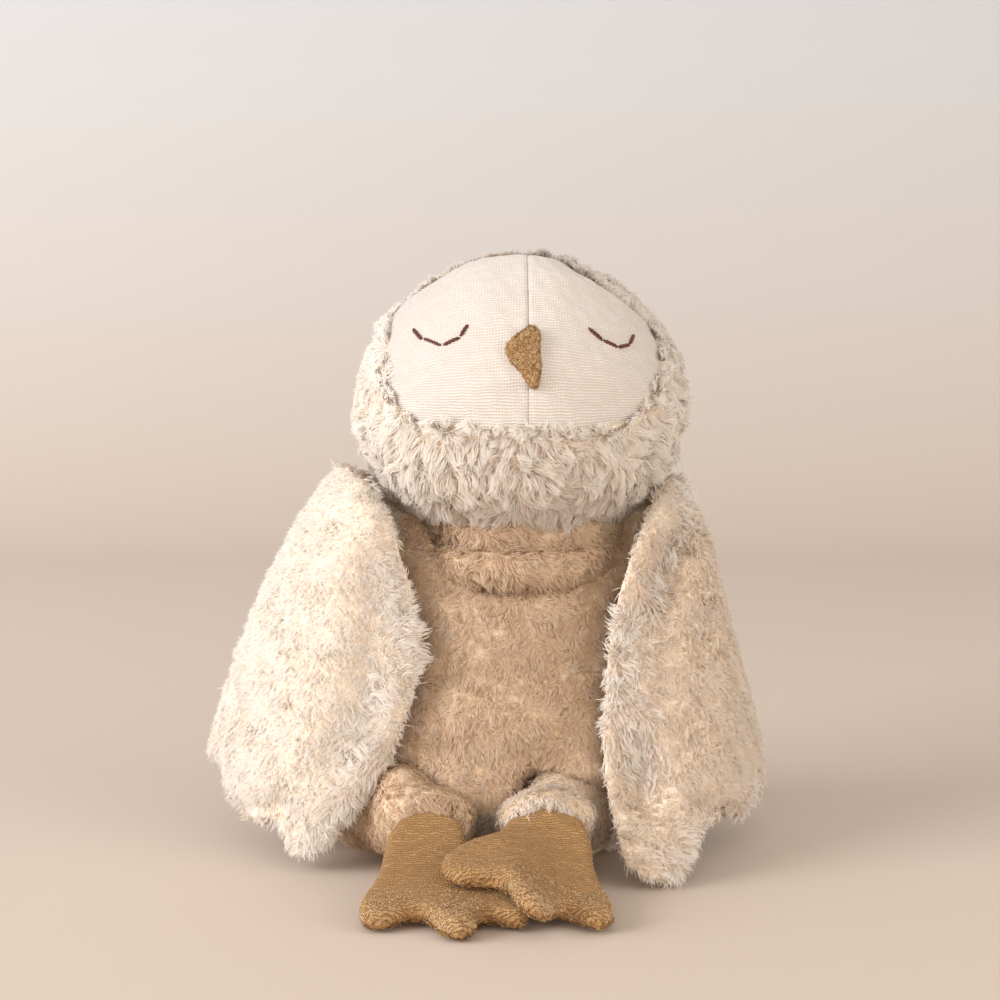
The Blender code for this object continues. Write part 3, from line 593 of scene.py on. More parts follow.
def nearness(piece, pixels, width):
    """A function from places to 1 on a line of pixels, found on a piece, and 0 far from it."""
    faces = tree_of(piece)
    line = [seen_on(faces, pixel) for pixel in pixels]
    return lambda points: np.exp(-(to_line(points, line) / width) ** 2)


def shape(piece, *steps):
    """Shape a piece in steps of pixels, depth and width in mm, and perhaps a way.

    Each step works along its line of pixels. Without a way it presses a soft crease into the
    surface, or a swelling at a negative depth; with one it moves the whole thickness."""
    for pixels, depth, width, *way in steps:
        points = points_of(piece)
        fall = (depth * MM * nearness(piece, pixels, width * MM)(points))[:, None]
        if way:
            set_points(piece, points + np.array(way[0]) * fall)
        else:
            set_points(piece, points - points_of(piece, "normal") * fall)


def draw_in(piece, amount):
    """Sink a skin by the thickness that its pile will add."""
    set_points(piece, points_of(piece) - points_of(piece, "normal") * amount)


def waves(points, size, seed):
    """A smooth random value about 0 for every point, with features of the given size."""
    rng = np.random.default_rng(seed)
    total = np.zeros(len(points))
    for _ in range(WAVE_COUNT):
        direction = rng.normal(size=3)
        direction *= math.tau / size * rng.uniform(0.6, 1.5) / np.linalg.norm(direction)
        total += np.sin(points @ direction + rng.uniform(0, math.tau))
    return total / WAVE_HEIGHT


def finish_piece(piece, body, material, replaced=()):
    """Give a piece its cloth and its body, and hide the model parts that it replaces."""
    piece.data.materials.clear()
    piece.data.materials.append(material)
    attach(piece, body)
    if replaced:
        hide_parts(*replaced)


print("shaping tools ready")

# %% [markdown]
# ## One strand
#
# A strand of matted pile is a flat lock of a few fibres, widest in its lower half and ending
# in a point. It is modelled once as a narrow leaf and copied many thousand times.

# %% The strand
LONG_JOINTS = (0.0, 0.40, 0.76, 1.0)
SHORT_JOINTS = (0.0, 0.55, 1.0)
long_width_shares = (0.75, 1.0, 0.72, 0.0)
short_width_shares = (0.8, 1.0, 0.0)
STRAND_WELD = 0.01


def model_strand(joints, width_shares):
    """A leaf standing on its root, as points, faces and the joint that each point belongs to."""
    bpy.ops.object.select_all(action="DESELECT")
    bpy.ops.mesh.primitive_grid_add(x_subdivisions=1, y_subdivisions=len(joints) - 1, size=2.0)
    leaf = bpy.context.object
    for point in leaf.data.vertices:
        joint = round((point.co.y + 1) / 2 * (len(joints) - 1))
        point.co = (point.co.x * width_shares[joint], 0.0, joints[joint])
    edit(leaf, lambda: bpy.ops.mesh.remove_doubles(threshold=STRAND_WELD))
    points = [tuple(point.co) for point in leaf.data.vertices]
    faces = [tuple(reversed(face.vertices)) for face in leaf.data.polygons]
    levels = [min(range(len(joints)), key=lambda j: abs(joints[j] - z)) for _, _, z in points]
    bpy.data.objects.remove(leaf, do_unlink=True)
    return {"joints": joints, "across": [x for x, _, _ in points], "faces": faces, "levels": levels}


LONG = model_strand(LONG_JOINTS, long_width_shares)
SHORT = model_strand(SHORT_JOINTS, short_width_shares)
print("strands of", len(LONG["faces"]), "and", len(SHORT["faces"]), "faces")

# %% [markdown]
# ## Growing and combing the pile
#
# Roots are scattered over a skin by area. Each strand leaves the cloth steeply and is laid over
# by its own weight, along the flow: the way the pile is brushed. The flow comes from a rule for
# the whole piece, from noise, and from a few combings drawn on the photograph. Neighbours lean
# on each other, so the tips are drawn together in small clumps.

# %% Scatter, comb and copy
COMB_REACH = 16 * MM
COMB_FORCE = 1.3
ROUGH_SIZE, FINE_SIZE = 24 * MM, 7 * MM
STRAY_SHARE, STRAY_DEGREES = 0.06, 26.0
ROLL_DEGREES = 30


def scatter(piece, per_mm2, keep, rng):
    """Roots and outward directions, spread evenly over a piece and thinned by keep."""
    mesh = piece.data
    mesh.calc_loop_triangles()
    count = len(mesh.loop_triangles)
    corners = np.empty(count * 3, dtype=np.int64)
    mesh.loop_triangles.foreach_get("vertices", corners)
    corners = corners.reshape(-1, 3)
    co, normal = points_of(piece), points_of(piece, "normal")
    a, b, c = (co[corners[:, k]] for k in range(3))
    areas = np.linalg.norm(np.cross(b - a, c - a), axis=1) / 2
    amount = int(areas.sum() / MM ** 2 * per_mm2)
    chosen = rng.choice(count, amount, p=areas / areas.sum())
    u, v = rng.random(amount), rng.random(amount)
    over = u + v > 1
    u[over], v[over] = 1 - u[over], 1 - v[over]
    shares = np.stack([1 - u - v, u, v], axis=1)[:, :, None]
    roots = (co[corners[chosen]] * shares).sum(axis=1)
    out = (normal[corners[chosen]] * shares).sum(axis=1)
    out /= np.linalg.norm(out, axis=1)[:, None]
    if keep is not None:
        stay = rng.random(amount) < keep(roots, out)
        roots, out = roots[stay], out[stay]
    return roots, out


def lay_flat(vectors, out):
    """Vectors without the part that points out of the cloth, at length one."""
    flat = vectors - out * (vectors * out).sum(axis=1)[:, None]
    return flat / np.maximum(np.linalg.norm(flat, axis=1), 1e-9)[:, None]


def toward(x, y, z):
    """A flow that lies along one direction of space all over a cloth."""
    return lambda roots, out: lay_flat(np.tile([x, y, z], (len(roots), 1)), out)


def combings(piece, strokes):
    """Combing strokes, drawn as pairs of pixels, found on a piece as (place, direction)."""
    faces = tree_of(piece)
    found = []
    for start, end in strokes:
        a, b = seen_on(faces, start), seen_on(faces, end)
        found.append((np.array(a), np.array((b - a).normalized())))
    return found


def grow(name, piece, body, per_mm2, length, flow, keep=None, width=0.25 * MM, lean=(18, 80),
         clump=3.6 * MM, pull=0.4, wander=0.75, strokes=(), tone=0.9, seed=1, trim=None,
         cover=None, slot="plush", soft=0.95, sink=0.9 * MM, strand=LONG):
    """Grow pile on a piece: length and half width in metres, lean from upright at root and tip.

    soft is how far a strand is lit as the cloth under it, sink how deep its root sits."""
    rng = np.random.default_rng(seed)
    roots, out = scatter(piece, per_mm2, keep, rng)
    count = len(roots)
    hubs = rng.choice(count, max(int(count / (per_mm2 * (clump / MM) ** 2)), 1), replace=False)
    finder = kdtree.KDTree(len(hubs))
    for number, hub in enumerate(hubs):
        finder.insert(roots[hub], number)
    finder.balance()
    clump_of = np.array([finder.find(root)[1] for root in roots])
    hub_of = hubs[clump_of]
    clump_lift = rng.normal(size=len(hubs))[clump_of]
    clump_tone = rng.normal(size=len(hubs))[clump_of]
    clump_way = rng.normal(size=(len(hubs), 3))[clump_of]
    clump_curl = rng.normal(size=len(hubs))[clump_of]
    clump_phase = rng.uniform(0, math.tau, len(hubs))[clump_of]

    way = flow(roots, out)
    for place, direction in strokes:
        near = np.exp(-(np.linalg.norm(roots - place, axis=1) / COMB_REACH) ** 2)[:, None]
        way = way * (1 - near) + direction * near * COMB_FORCE
    rough = np.stack([waves(roots, ROUGH_SIZE, seed * 7 + k) for k in range(3)], axis=1)
    fine = np.stack([waves(roots, FINE_SIZE, seed * 11 + k) for k in range(3)], axis=1)
    way = way + wander * (0.8 * rough + 0.6 * fine + 0.6 * clump_way)
    way = way + 0.16 * rng.normal(size=(count, 3))
    way = lay_flat(way, out)
    side = np.cross(out, way)

    sizes = length * (1 + 0.18 * rng.normal(size=count)).clip(0.5, 1.5)
    sizes = sizes * (1 + 0.14 * waves(roots, 12 * MM, seed + 50))
    if trim is not None:
        sizes = sizes * trim(roots, out)
    stray = (rng.random(count) < STRAY_SHARE) * STRAY_DEGREES
    lean_root = np.radians(lean[0] + 9 * rng.normal(size=count) + 7 * clump_lift)
    lean_tip = np.radians(lean[1] + 8 * rng.normal(size=count) + 9 * clump_lift - stray)
    spine = [roots - out * sink]
    heading = []
    for low, high in zip(strand["joints"][:-1], strand["joints"][1:]):
        angle = lean_root + (lean_tip - lean_root) * (low + high) / 2
        step = out * np.cos(angle)[:, None] + way * np.sin(angle)[:, None]
        heading.append(step)
        spine.append(spine[-1] + step * (sizes * (high - low))[:, None])
    phase = clump_phase + 0.7 * rng.normal(size=count)
    bend = (0.16 * clump_curl + 0.09 * rng.normal(size=count)) * sizes
    apart = spine[-1][hub_of] - spine[-1]
    close = np.exp(-(np.linalg.norm(roots[hub_of] - roots, axis=1) / clump) ** 2) * pull
    for number, share in enumerate(strand["joints"]):
        curl = bend * share ** 2 + 0.09 * sizes * share * np.sin(phase + 5.5 * share)
        spine[number] = spine[number] + side * curl[:, None] + apart * (close * share ** 1.6)[:, None]

    roll = rng.normal(size=count) * math.radians(ROLL_DEGREES)
    thick = width * (1 + 0.25 * rng.normal(size=count)).clip(0.5, 1.7)
    cos, sin = np.cos(roll)[:, None], np.sin(roll)[:, None]
    points = np.empty((count, len(strand["levels"]), 3))
    looks = np.empty_like(points)
    for number, level in enumerate(strand["levels"]):
        ahead = heading[min(level, len(heading) - 1)]
        up = np.cross(ahead, side)
        half_width = (strand["across"][number] * thick)[:, None]
        points[:, number] = spine[level] + (side * cos + up * sin) * half_width
        looks[:, number] = out * soft + (up * cos - side * sin) * (1.2 - soft)

    # A region's tone below the default paints shade on its pile, pulling strands towards the dull and shaded
    # tip; the spread about it is random.
    level_tone = tone(roots) if callable(tone) else tone
    shade = (level_tone + 0.10 * rng.normal(size=count) + 0.08 * clump_tone).clip(0.02, 0.98)
    return make_pile(name, body, points, looks, shade, cover or plush, strand)


def make_pile(name, body, points, looks, shade, cover, strand):
    """One mesh of many strands, mapped by tone across and root to tip up.

    A strand is a lock of clear fibres that passes light on, so it is lit mostly as the cloth
    under it: looks are the directions that its points are lit from."""
    count, each = points.shape[:2]
    loops = np.concatenate([np.array(face) for face in strand["faces"]])
    sizes = np.array([len(face) for face in strand["faces"]])
    starts = np.concatenate([[0], np.cumsum(sizes)[:-1]])
    step = np.arange(count)[:, None]
    mesh = bpy.data.meshes.new(name)
    mesh.vertices.add(count * each)
    mesh.vertices.foreach_set("co", points.ravel())
    mesh.loops.add(count * len(loops))
    mesh.loops.foreach_set("vertex_index", (loops[None, :] + step * each).ravel().astype(np.int32))
    mesh.polygons.add(count * len(sizes))
    mesh.polygons.foreach_set("loop_start", (starts[None, :] + step * len(loops)).ravel().astype(np.int32))
    mesh.update(calc_edges=True)
    mesh.polygons.foreach_set("use_smooth", np.ones(count * len(sizes), dtype=bool))
    strand_map = mesh.uv_layers.new(name="OFBake")
    along = np.array([strand["joints"][strand["levels"][k]] for k in loops])
    uv = np.empty((count, len(loops), 2))
    uv[:, :, 0] = shade[:, None]
    uv[:, :, 1] = 0.02 + 0.96 * along[None, :]
    strand_map.data.foreach_set("uv", uv.ravel())
    looks = looks.reshape(-1, 3)
    mesh.normals_split_custom_set_from_vertices(looks / np.linalg.norm(looks, axis=1)[:, None])
    pile = bpy.data.objects.new(name, mesh)
    bpy.context.scene.collection.objects.link(pile)
    mesh.materials.append(cover)
    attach(pile, body)
    print(name, count, "strands,", count * int((sizes - 2).sum()), "triangles")
    return pile


print("pile tools ready")

# %% [markdown]
# ## The head
#
# The head is a stuffed egg, wider than deep. The hood covers the crown's back, the cheeks and
# the chin; the face is two velour panels let into it. The egg is remade from the model's hood
# and face together, so that the cloth under the pile has no steps.

# %% Head skin
FACE_UP = VIEW_UP
FACE_OUT = -VIEW_AHEAD
head_low, head_high = (Vector(corner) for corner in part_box("head_fur_hood"))
egg_low, egg_high = (Vector(corner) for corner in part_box("head_stuffing"))
HEAD_CENTRE = Vector(((head_low.x + head_high.x) / 2,
                      (egg_low.y + egg_high.y) / 2, (egg_low.z + egg_high.z) / 2))
HEAD_HALF_WIDTH = (head_high.x - head_low.x) / 2
HEAD_RADIUS = (egg_high.y - egg_low.y) / 2 + HEAD_HALF_WIDTH - (egg_high.x - egg_low.x) / 2
CROWN_TAPER = 0.04


def taper(points, sign=1):
    """Draw the crown's two shoulders in, so that the head is a blunt pear; -1 undoes it."""
    up, local = np.array(FACE_UP), points - np.array(HEAD_CENTRE)
    across, rise = local[:, 0], local @ up
    size = np.hypot(across, rise) + 1e-9
    slant = 2 * across * rise / size ** 2
    drawn = CROWN_TAPER * (rise > 0) * slant ** 2 * np.minimum(size / HEAD_HALF_WIDTH, 1.1) ** 2
    moved = -sign * drawn[:, None] * (np.outer(across, [1.0, 0.0, 0.0]) + np.outer(rise, up))
    return points + moved


hood = adopt("head_hood_cloth", "head_fur_hood", "face_panel_left", "face_panel_right",
             "head_stuffing")
remake(hood, 2.0 * MM, 14)
set_points(hood, taper(points_of(hood)))
shape(hood, ([(420, 480), (470, 490), (540, 485), (610, 470)], -3.0, 13))
print("head centre", [round(v / MM, 1) for v in HEAD_CENTRE])
print("head radii", round(HEAD_HALF_WIDTH / MM, 1), round(HEAD_RADIUS / MM, 1))

# %% [markdown]
# ## The face
#
# The velour is laid on the egg as a round grid: rings that shrink from the sewn edge to the
# middle. Its map counts metres across and up the cloth, so the ribs keep their 1.2 mm
# everywhere. The middle seam is a narrow valley between two soft lips.

# %% Face outline on the egg
SEAM_X = 3.0 * MM
face_outline_shares = [
    (-0.825, 0.360), (-0.830, 0.150), (-0.780, -0.040), (-0.640, -0.160),
    (-0.440, -0.225), (0.045, -0.243), (0.490, -0.236), (0.630, -0.190),
    (0.760, -0.080), (0.845, 0.085), (0.872, 0.260), (0.835, 0.405),
    (0.725, 0.525), (0.575, 0.640), (0.300, 0.825), (0.100, 0.930),
    (-0.300, 0.960), (-0.640, 0.840), (-0.800, 0.580),
]


def smooth_loop(points, steps):
    """A smooth closed curve through points, as an array of steps places."""
    keys = np.array(points)
    last = len(keys)
    spot = np.arange(steps) / steps * last
    start = spot.astype(int)
    part = (spot - start)[:, None]
    a, b, c, d = (keys[(start + k) % last] for k in (-1, 0, 1, 2))
    bend = (2 * a - 5 * b + 4 * c - d) * part ** 2 + (3 * b - a - 3 * c + d) * part ** 3
    return b + ((c - a) * part + bend) / 2


def egg_angles(flat):
    """Across and turn on the egg for places of the front view, kept inside its outline."""
    across = np.clip(flat[:, 0] / HEAD_HALF_WIDTH, -0.99, 0.99)
    ring = HEAD_RADIUS * np.sqrt(1 - across ** 2)
    turn = np.arcsin(np.clip(flat[:, 1] / ring, -1.0, 1.0))
    return np.stack([across * HEAD_HALF_WIDTH, turn], axis=1)


def on_egg(across, turn, lift):
    """Places on the egg at a distance across and a turn about the nodding line."""
    share = np.clip(across / HEAD_HALF_WIDTH, -1.0, 1.0)
    ring = (HEAD_RADIUS + lift) * np.sqrt(1 - share ** 2)
    up, out = np.array(FACE_UP), np.array(FACE_OUT)
    spot = np.outer(ring * np.sin(turn), up) + np.outer(ring * np.cos(turn), out) + np.array(HEAD_CENTRE)
    spot[:, 0] += across * (1 + lift / HEAD_HALF_WIDTH)
    return taper(spot)


RIM_STEPS = 360
rim = smooth_loop(np.array(face_outline_shares) * HEAD_HALF_WIDTH, RIM_STEPS)
rim = egg_angles(rim)
face_middle = np.array([SEAM_X, 0.30])
print("face rim", RIM_STEPS, "places")

# %% Face cloth
FACE_RINGS = 72
FACE_LIFT = 1.1 * MM
LIP = 2.2 * MM
RIM_SINK = 1.6 * MM
TOP_SINK = 0.0
RIM_REACH = 45 * MM
SEAM_DEPTH, SEAM_WIDTH = 0.55 * MM, 0.6 * MM
SEAM_LIP = 0.1 * MM
SEAM_GAP = 0.05 * MM
CLOTH_THICKNESS = 0.9 * MM


def face_panel(name, sign, node):
    """Half of the face: the round grid cut at the seam, given its thickness."""
    bpy.ops.object.select_all(action="DESELECT")
    bpy.ops.mesh.primitive_grid_add(x_subdivisions=RIM_STEPS, y_subdivisions=FACE_RINGS, size=1.0)
    piece = bpy.context.object
    piece.name = name
    flat = points_of(piece)
    turn_share = flat[:, 0] + 0.5
    ring = flat[:, 1] + 0.5
    spot = turn_share * RIM_STEPS
    low = spot.astype(int) % RIM_STEPS
    part = (spot - np.floor(spot))[:, None]
    edge = rim[low] * (1 - part) + rim[(low + 1) % RIM_STEPS] * part
    where = face_middle + (edge - face_middle) * ring[:, None]
    across, turn = where[:, 0], where[:, 1]
    to_seam = np.abs(across - SEAM_X)
    to_rim = (1 - ring) * RIM_REACH
    sink = TOP_SINK + (RIM_SINK - TOP_SINK) * np.clip((0.45 - turn) / 0.5, 0, 1)
    at_rim = np.exp(-(to_rim / LIP) ** 2)
    lift = FACE_LIFT * (1 - at_rim) - sink * at_rim
    lift = lift - SEAM_DEPTH * np.exp(-(to_seam / SEAM_WIDTH) ** 2)
    lift = lift + SEAM_LIP * np.exp(-((to_seam - LIP) / LIP) ** 2)
    soft = on_egg(across, turn, lift)
    lift = lift + 0.45 * MM * waves(soft, 30 * MM, 5) + 0.16 * MM * waves(soft, 9 * MM, 6)
    set_points(piece, on_egg(across, turn, lift))
    cloth_map = piece.data.uv_layers.new(name="cloth")
    corners = np.empty(len(piece.data.loops), dtype=np.int64)
    piece.data.loops.foreach_get("vertex_index", corners)
    share = np.clip(across / HEAD_HALF_WIDTH, -1, 1)
    uv = np.stack([HEAD_HALF_WIDTH * np.arcsin(share), HEAD_RADIUS * turn], axis=1)
    cloth_map.data.foreach_set("uv", uv[corners].ravel())
    for layer in list(piece.data.uv_layers):
        if layer.name != "cloth":
            piece.data.uv_layers.remove(layer)
    cut = (HEAD_CENTRE.x + SEAM_X + sign * SEAM_GAP, 0, 0)
    edit(piece, lambda: bpy.ops.mesh.remove_doubles(threshold=WELD / 2),
         lambda: bpy.ops.mesh.bisect(plane_co=cut, plane_no=(-sign, 0, 0), clear_outer=True),
         lambda: bpy.ops.mesh.normals_make_consistent(inside=False))
    outward = points_of(piece, "normal").mean(axis=0)
    if outward @ np.array(FACE_OUT) < 0:
        piece.data.flip_normals()
    apply(piece, "cloth", "SOLIDIFY", thickness=CLOTH_THICKNESS, offset=-1.0)
    pick(piece)
    bpy.ops.object.shade_smooth()
    finish_piece(piece, "head", velour, (node,))
    print(name, len(piece.data.polygons), "faces")
    return piece


face_left = face_panel("face_velour_left", -1, "face_panel_left")
face_right = face_panel("face_velour_right", 1, "face_panel_right")

# %% [markdown]
# ## The shut eyes
#
# Each eye is a row of four back stitches in brown thread. A stitch dives into the velour at
# both ends and stands proud in the middle, and its two plies wind round each other. The ends
# are read off the photograph and found again on the egg.

# %% Eye stitches
EYE_PIXELS = {
    "left": [((413, 329), (422, 339.5)), ((423.5, 338.5), (441, 345.5)),
             ((443, 345.5), (460, 337.5)), ((460.5, 336.5), (468, 325))],
    "right": [((588, 328), (602.5, 340.5)), ((603, 340.5), (617.5, 347.5)),
              ((618, 347.5), (629.5, 345)), ((629.5, 344.5), (633.5, 334.5))],
}
PLY_RADIUS = 0.50 * MM
PLY_SPREAD = 0.36 * MM
PLY_STEPS = 16
TWIST_LENGTH = 1.5 * MM
STITCH_RISE, STITCH_DIVE = 0.30 * MM, 0.75 * MM


def eye(side, cloth):
    """A row of stitches as one thread piece."""
    name = "eye_thread_" + side
    faces = tree_of(cloth)
    curve = bpy.data.curves.new(name, "CURVE")
    curve.dimensions = "3D"
    curve.bevel_depth = PLY_RADIUS
    curve.bevel_resolution = 2
    curve.use_fill_caps = True
    for start, end in EYE_PIXELS[side]:
        a, b = seen_on(faces, start), seen_on(faces, end)
        out = ((a + b) / 2 - HEAD_CENTRE).normalized()
        along = (b - a).normalized()
        across = out.cross(along).normalized()
        for ply in (0.0, math.pi):
            spline = curve.splines.new("POLY")
            spline.points.add(PLY_STEPS)
            for step in range(PLY_STEPS + 1):
                share = step / PLY_STEPS
                dive = STITCH_DIVE * (abs(2 * share - 1)) ** 5
                twist = ply + share * (b - a).length / TWIST_LENGTH * math.tau / 2
                place = a.lerp(b, share) + out * (STITCH_RISE - dive)
                place += (across * math.cos(twist) + out * math.sin(twist)) * PLY_SPREAD
                spline.points[step].co = (*place, 1.0)
                spline.points[step].radius = 1.0 - 0.35 * abs(2 * share - 1) ** 4
    row = bpy.data.objects.new(name, curve)
    bpy.context.scene.collection.objects.link(row)
    pick(row)
    bpy.ops.object.convert(target="MESH")
    row = bpy.context.object
    row.name = name
    bpy.ops.object.shade_smooth()
    finish_piece(row, "head", thread, ("eye_stitch_" + side,))
    print(name, len(row.data.polygons), "faces")


eye("left", face_left)
eye("right", face_right)

# %% [markdown]
# ## Terry
#
# Terry is a ground cloth set with small loops. Each loop here is a strand that leaves the
# cloth and bends back to it. On the feet the loops are worn short near the ankle and stand
# longer and curlier at the toes, where the cloth is bent most. Their colour is darker near the
# ankle and paler at the toes, with painted shade between their rows.

# %% Feet and beak: the ground cloth
def foot(side):
    piece = adopt("foot_terry_" + side, "foot_%s_upper" % side, "foot_%s_sole" % side)
    remake(piece, 0.9 * MM, 16)
    finish_piece(piece, "foot_" + side, terry, ("foot_%s_upper" % side, "foot_%s_sole" % side))
    print(piece.name, len(piece.data.polygons), "faces")
    return piece


feet = {side: foot(side) for side in SIDES}
shape(feet["right"],
      ([(524, 835), (532, 868)], 1.3, 5),
      ([(510, 868), (520, 892)], -1.2, 4))
beak = adopt("beak_terry", "beak")
remake(beak, 0.5 * MM, 8)
draw_in(beak, 0.5 * MM)
finish_piece(beak, "head", terry, ("beak",))
print("beak", len(beak.data.polygons), "faces")

# %% Loops of the feet and the beak
LOOP = dict(cover=loop_pile, slot="terry", lean=(8, 150), clump=1.4 * MM, pull=0.15,
            wander=0.45, soft=0.6, sink=0.3 * MM)
TOE_START_SHARE, TOE_SPAN_SHARE = 0.45, 0.50
RIB_PITCH = 1.3 * MM


def toe_share(piece):
    """A function from places to 0 at the ankle and 1 at the toe tips."""
    points = points_of(piece)
    back, front = points[:, 1].max(), points[:, 1].min()

    def share(roots):
        along = (back - roots[:, 1]) / (back - front)
        return np.clip((along - TOE_START_SHARE) / TOE_SPAN_SHARE, 0, 1)
    return share


def ribs(roots):
    """Rows of loops, from 0 between them to 1 on them, a little uneven."""
    drift = 0.35 * RIB_PITCH * waves(roots, 9 * MM, 29)
    slope = 0.35 * np.sign(roots[:, 0]) * roots[:, 0]
    return 0.5 + 0.5 * np.cos(math.tau * (roots[:, 1] + slope + 0.5 * roots[:, 2] + drift) / RIB_PITCH)


forward = toward(0.35, -1.0, -0.2)
along_rows = toward(1.0, -0.3, 0.0)


for number, side in enumerate(SIDES):
    toes = toe_share(feet[side])
    # Their tone rises towards the toes and on the rows, with painted shade between the rows.
    grow("foot_loops_" + side, feet[side], "foot_" + side, 11.0, 1.6 * MM, along_rows,
         lambda r, o: (o[:, 2] > -0.25) * (0.22 + 0.78 * toes(r)) * ribs(r) ** 3, width=0.24 * MM,
         trim=lambda r, o: 0.5 + 0.6 * toes(r), tone=lambda r: 0.15 + 0.45 * toes(r) + 0.6 * ribs(r) ** 2,
         strand=SHORT, seed=71 + number, **LOOP)
    grow("sole_loops_" + side, feet[side], "foot_" + side, 0.9, 2.4 * MM, forward,
         lambda r, o: o[:, 2] <= -0.25,
         width=0.4 * MM, tone=0.25, seed=73 + number, **LOOP)
grow("beak_loops", beak, "head", 5.0, 1.9 * MM, forward, width=0.24 * MM,
     tone=lambda r: 0.5 + 0.3 * waves(r, 2 * MM, 76),
     seed=75, **LOOP)

# %% [markdown]
# ## Body, neck folds, legs and wings
#
# All of them are stuffed or padded cloth under the same pile, so they are remade in the same
# way. The body is remade with its stuffing, which closes it under the seams. Creases follow
# the photograph: across the belly, along the front edge of each wing, under the chin.

# %% Body skin
body = adopt("body_cloth", "body_front_panel", "body_back_panel", "body_base_panel",
             "body_stuffing", "bean_pouch")
remake(body, 2.2 * MM, 8)
draw_in(body, 1.2 * MM)
shape(body,
      ([(425, 682), (500, 676), (585, 664)], 1.8, 4.5),
      ([(440, 752), (500, 760), (560, 748)], 1.4, 6),
      ([(470, 718), (530, 715)], -2.0, 16),
      ([(460, 635), (530, 632)], -2.0, 15),
      ([(410, 772), (450, 786), (500, 800), (550, 778), (590, 765)], -5.0, 9),
      ([(512, 792), (528, 772), (560, 757), (592, 750)], -5.0, 8, VIEW_UP),
      ([(400, 775), (440, 790), (470, 800)], -2.0, 8, VIEW_UP),
      ([(405, 556), (425, 570)], -2.5, 8),
      ([(605, 536), (632, 500)], -2.5, 8),
      ([(414, 574), (450, 588), (520, 592), (580, 580), (606, 556), (630, 520)], 1.6, 5))
finish_piece(body, "body", shaded_backing,
             ("body_front_panel", "body_back_panel", "body_base_panel"))
print("body", len(body.data.polygons), "faces")

# %% Neck folds
neck = adopt("neck_cloth", "neck_roll")
remake(neck, 1.6 * MM, 4)
shape(neck,
      ([(420, 556), (460, 566), (520, 570), (575, 562), (606, 545)], -4.5, 7),
      ([(430, 540), (500, 546), (570, 540)], 1.5, 4))
finish_piece(neck, "neck", shaded_backing, ("neck_roll",))
print("neck", len(neck.data.polygons), "faces")

# %% Legs
CUFF_LINES = {"left": [(392, 812), (410, 802), (440, 800), (464, 810)],
              "right": [(506, 818), (530, 804), (565, 803), (586, 815)]}
THIGH_LINES = {"left": [(400, 785), (450, 790)], "right": [(528, 778), (560, 770), (592, 768)]}
FLANK_LINES = {"left": [(330, 848), (362, 846)], "right": [(590, 850), (600, 846)]}
legs = {}
for side in SIDES:
    piece = adopt("leg_cloth_" + side, "leg_%s_fur" % side, "leg_%s_stuffing" % side)
    remake(piece, 1.5 * MM, 6)
    finish_piece(piece, "leg_" + side, shaded_backing, ("leg_%s_fur" % side,))
    shape(piece,
          (CUFF_LINES[side], -3.0, 6),
          (THIGH_LINES[side], -6.0, 9),
          (FLANK_LINES[side], -4.0, 11))
    legs[side] = piece
    print(piece.name, len(piece.data.polygons), "faces")

# %% Wings
wings = {}
for side in SIDES:
    piece = adopt("wing_cloth_" + side, "wing_%s_plush" % side, "wing_%s_lining" % side)
    remake(piece, 1.5 * MM, 16)
    finish_piece(piece, "wing_" + side, backing,
                 ("wing_%s_plush" % side, "wing_%s_lining" % side))
    wings[side] = piece
    print(piece.name, len(piece.data.polygons), "faces")
for piece in wings.values():
    draw_in(piece, 1.5 * MM)
shape(wings["right"],
      ([(694, 500), (668, 560), (650, 620), (646, 700), (640, 800)], 13.0, 10, VIEW_AHEAD),
      ([(700, 600), (700, 690), (690, 770)], 5.0, 16, VIEW_AHEAD),
      ([(660, 500), (628, 565), (606, 640), (600, 730), (606, 820)], -7.0, 9, VIEW_AHEAD),
      ([(708, 835), (724, 826)], 7.0, 8, VIEW_UP),
      ([(722, 822), (745, 812)], 3.0, 9, VIEW_UP),
      ([(712, 800), (745, 796)], -2.5, 8),
      ([(700, 806), (698, 840)], 4.0, 6))
shape(wings["left"],
      ([(372, 560), (378, 640), (368, 700), (335, 760)], 4.0, 10, VIEW_AHEAD),
      ([(300, 600), (280, 700)], 2.0, 18, VIEW_AHEAD),
      ([(404, 560), (416, 640), (400, 730)], -3.0, 7, VIEW_AHEAD),
      ([(415, 600), (420, 660), (412, 710)], 3.0, 9, VIEW_RIGHT),
      ([(272, 830), (280, 808)], 3.0, 5),
      ([(236, 805), (262, 812)], -2.5, 8))

# %% Head hood cloth
finish_piece(hood, "head", backing, ("head_fur_hood",))
print("hood", len(hood.data.polygons), "faces")

# %% [markdown]
# ## Pile on the head
#
# Round the face the pile is brushed outwards, over the sewn edge and away from the eyes, and
# everywhere else it hangs. Nothing grows under the velour. Along the velour's edge a row of
# short upright strands hides the seam.

# %% Where the face is
face_polygon = rim[::6]


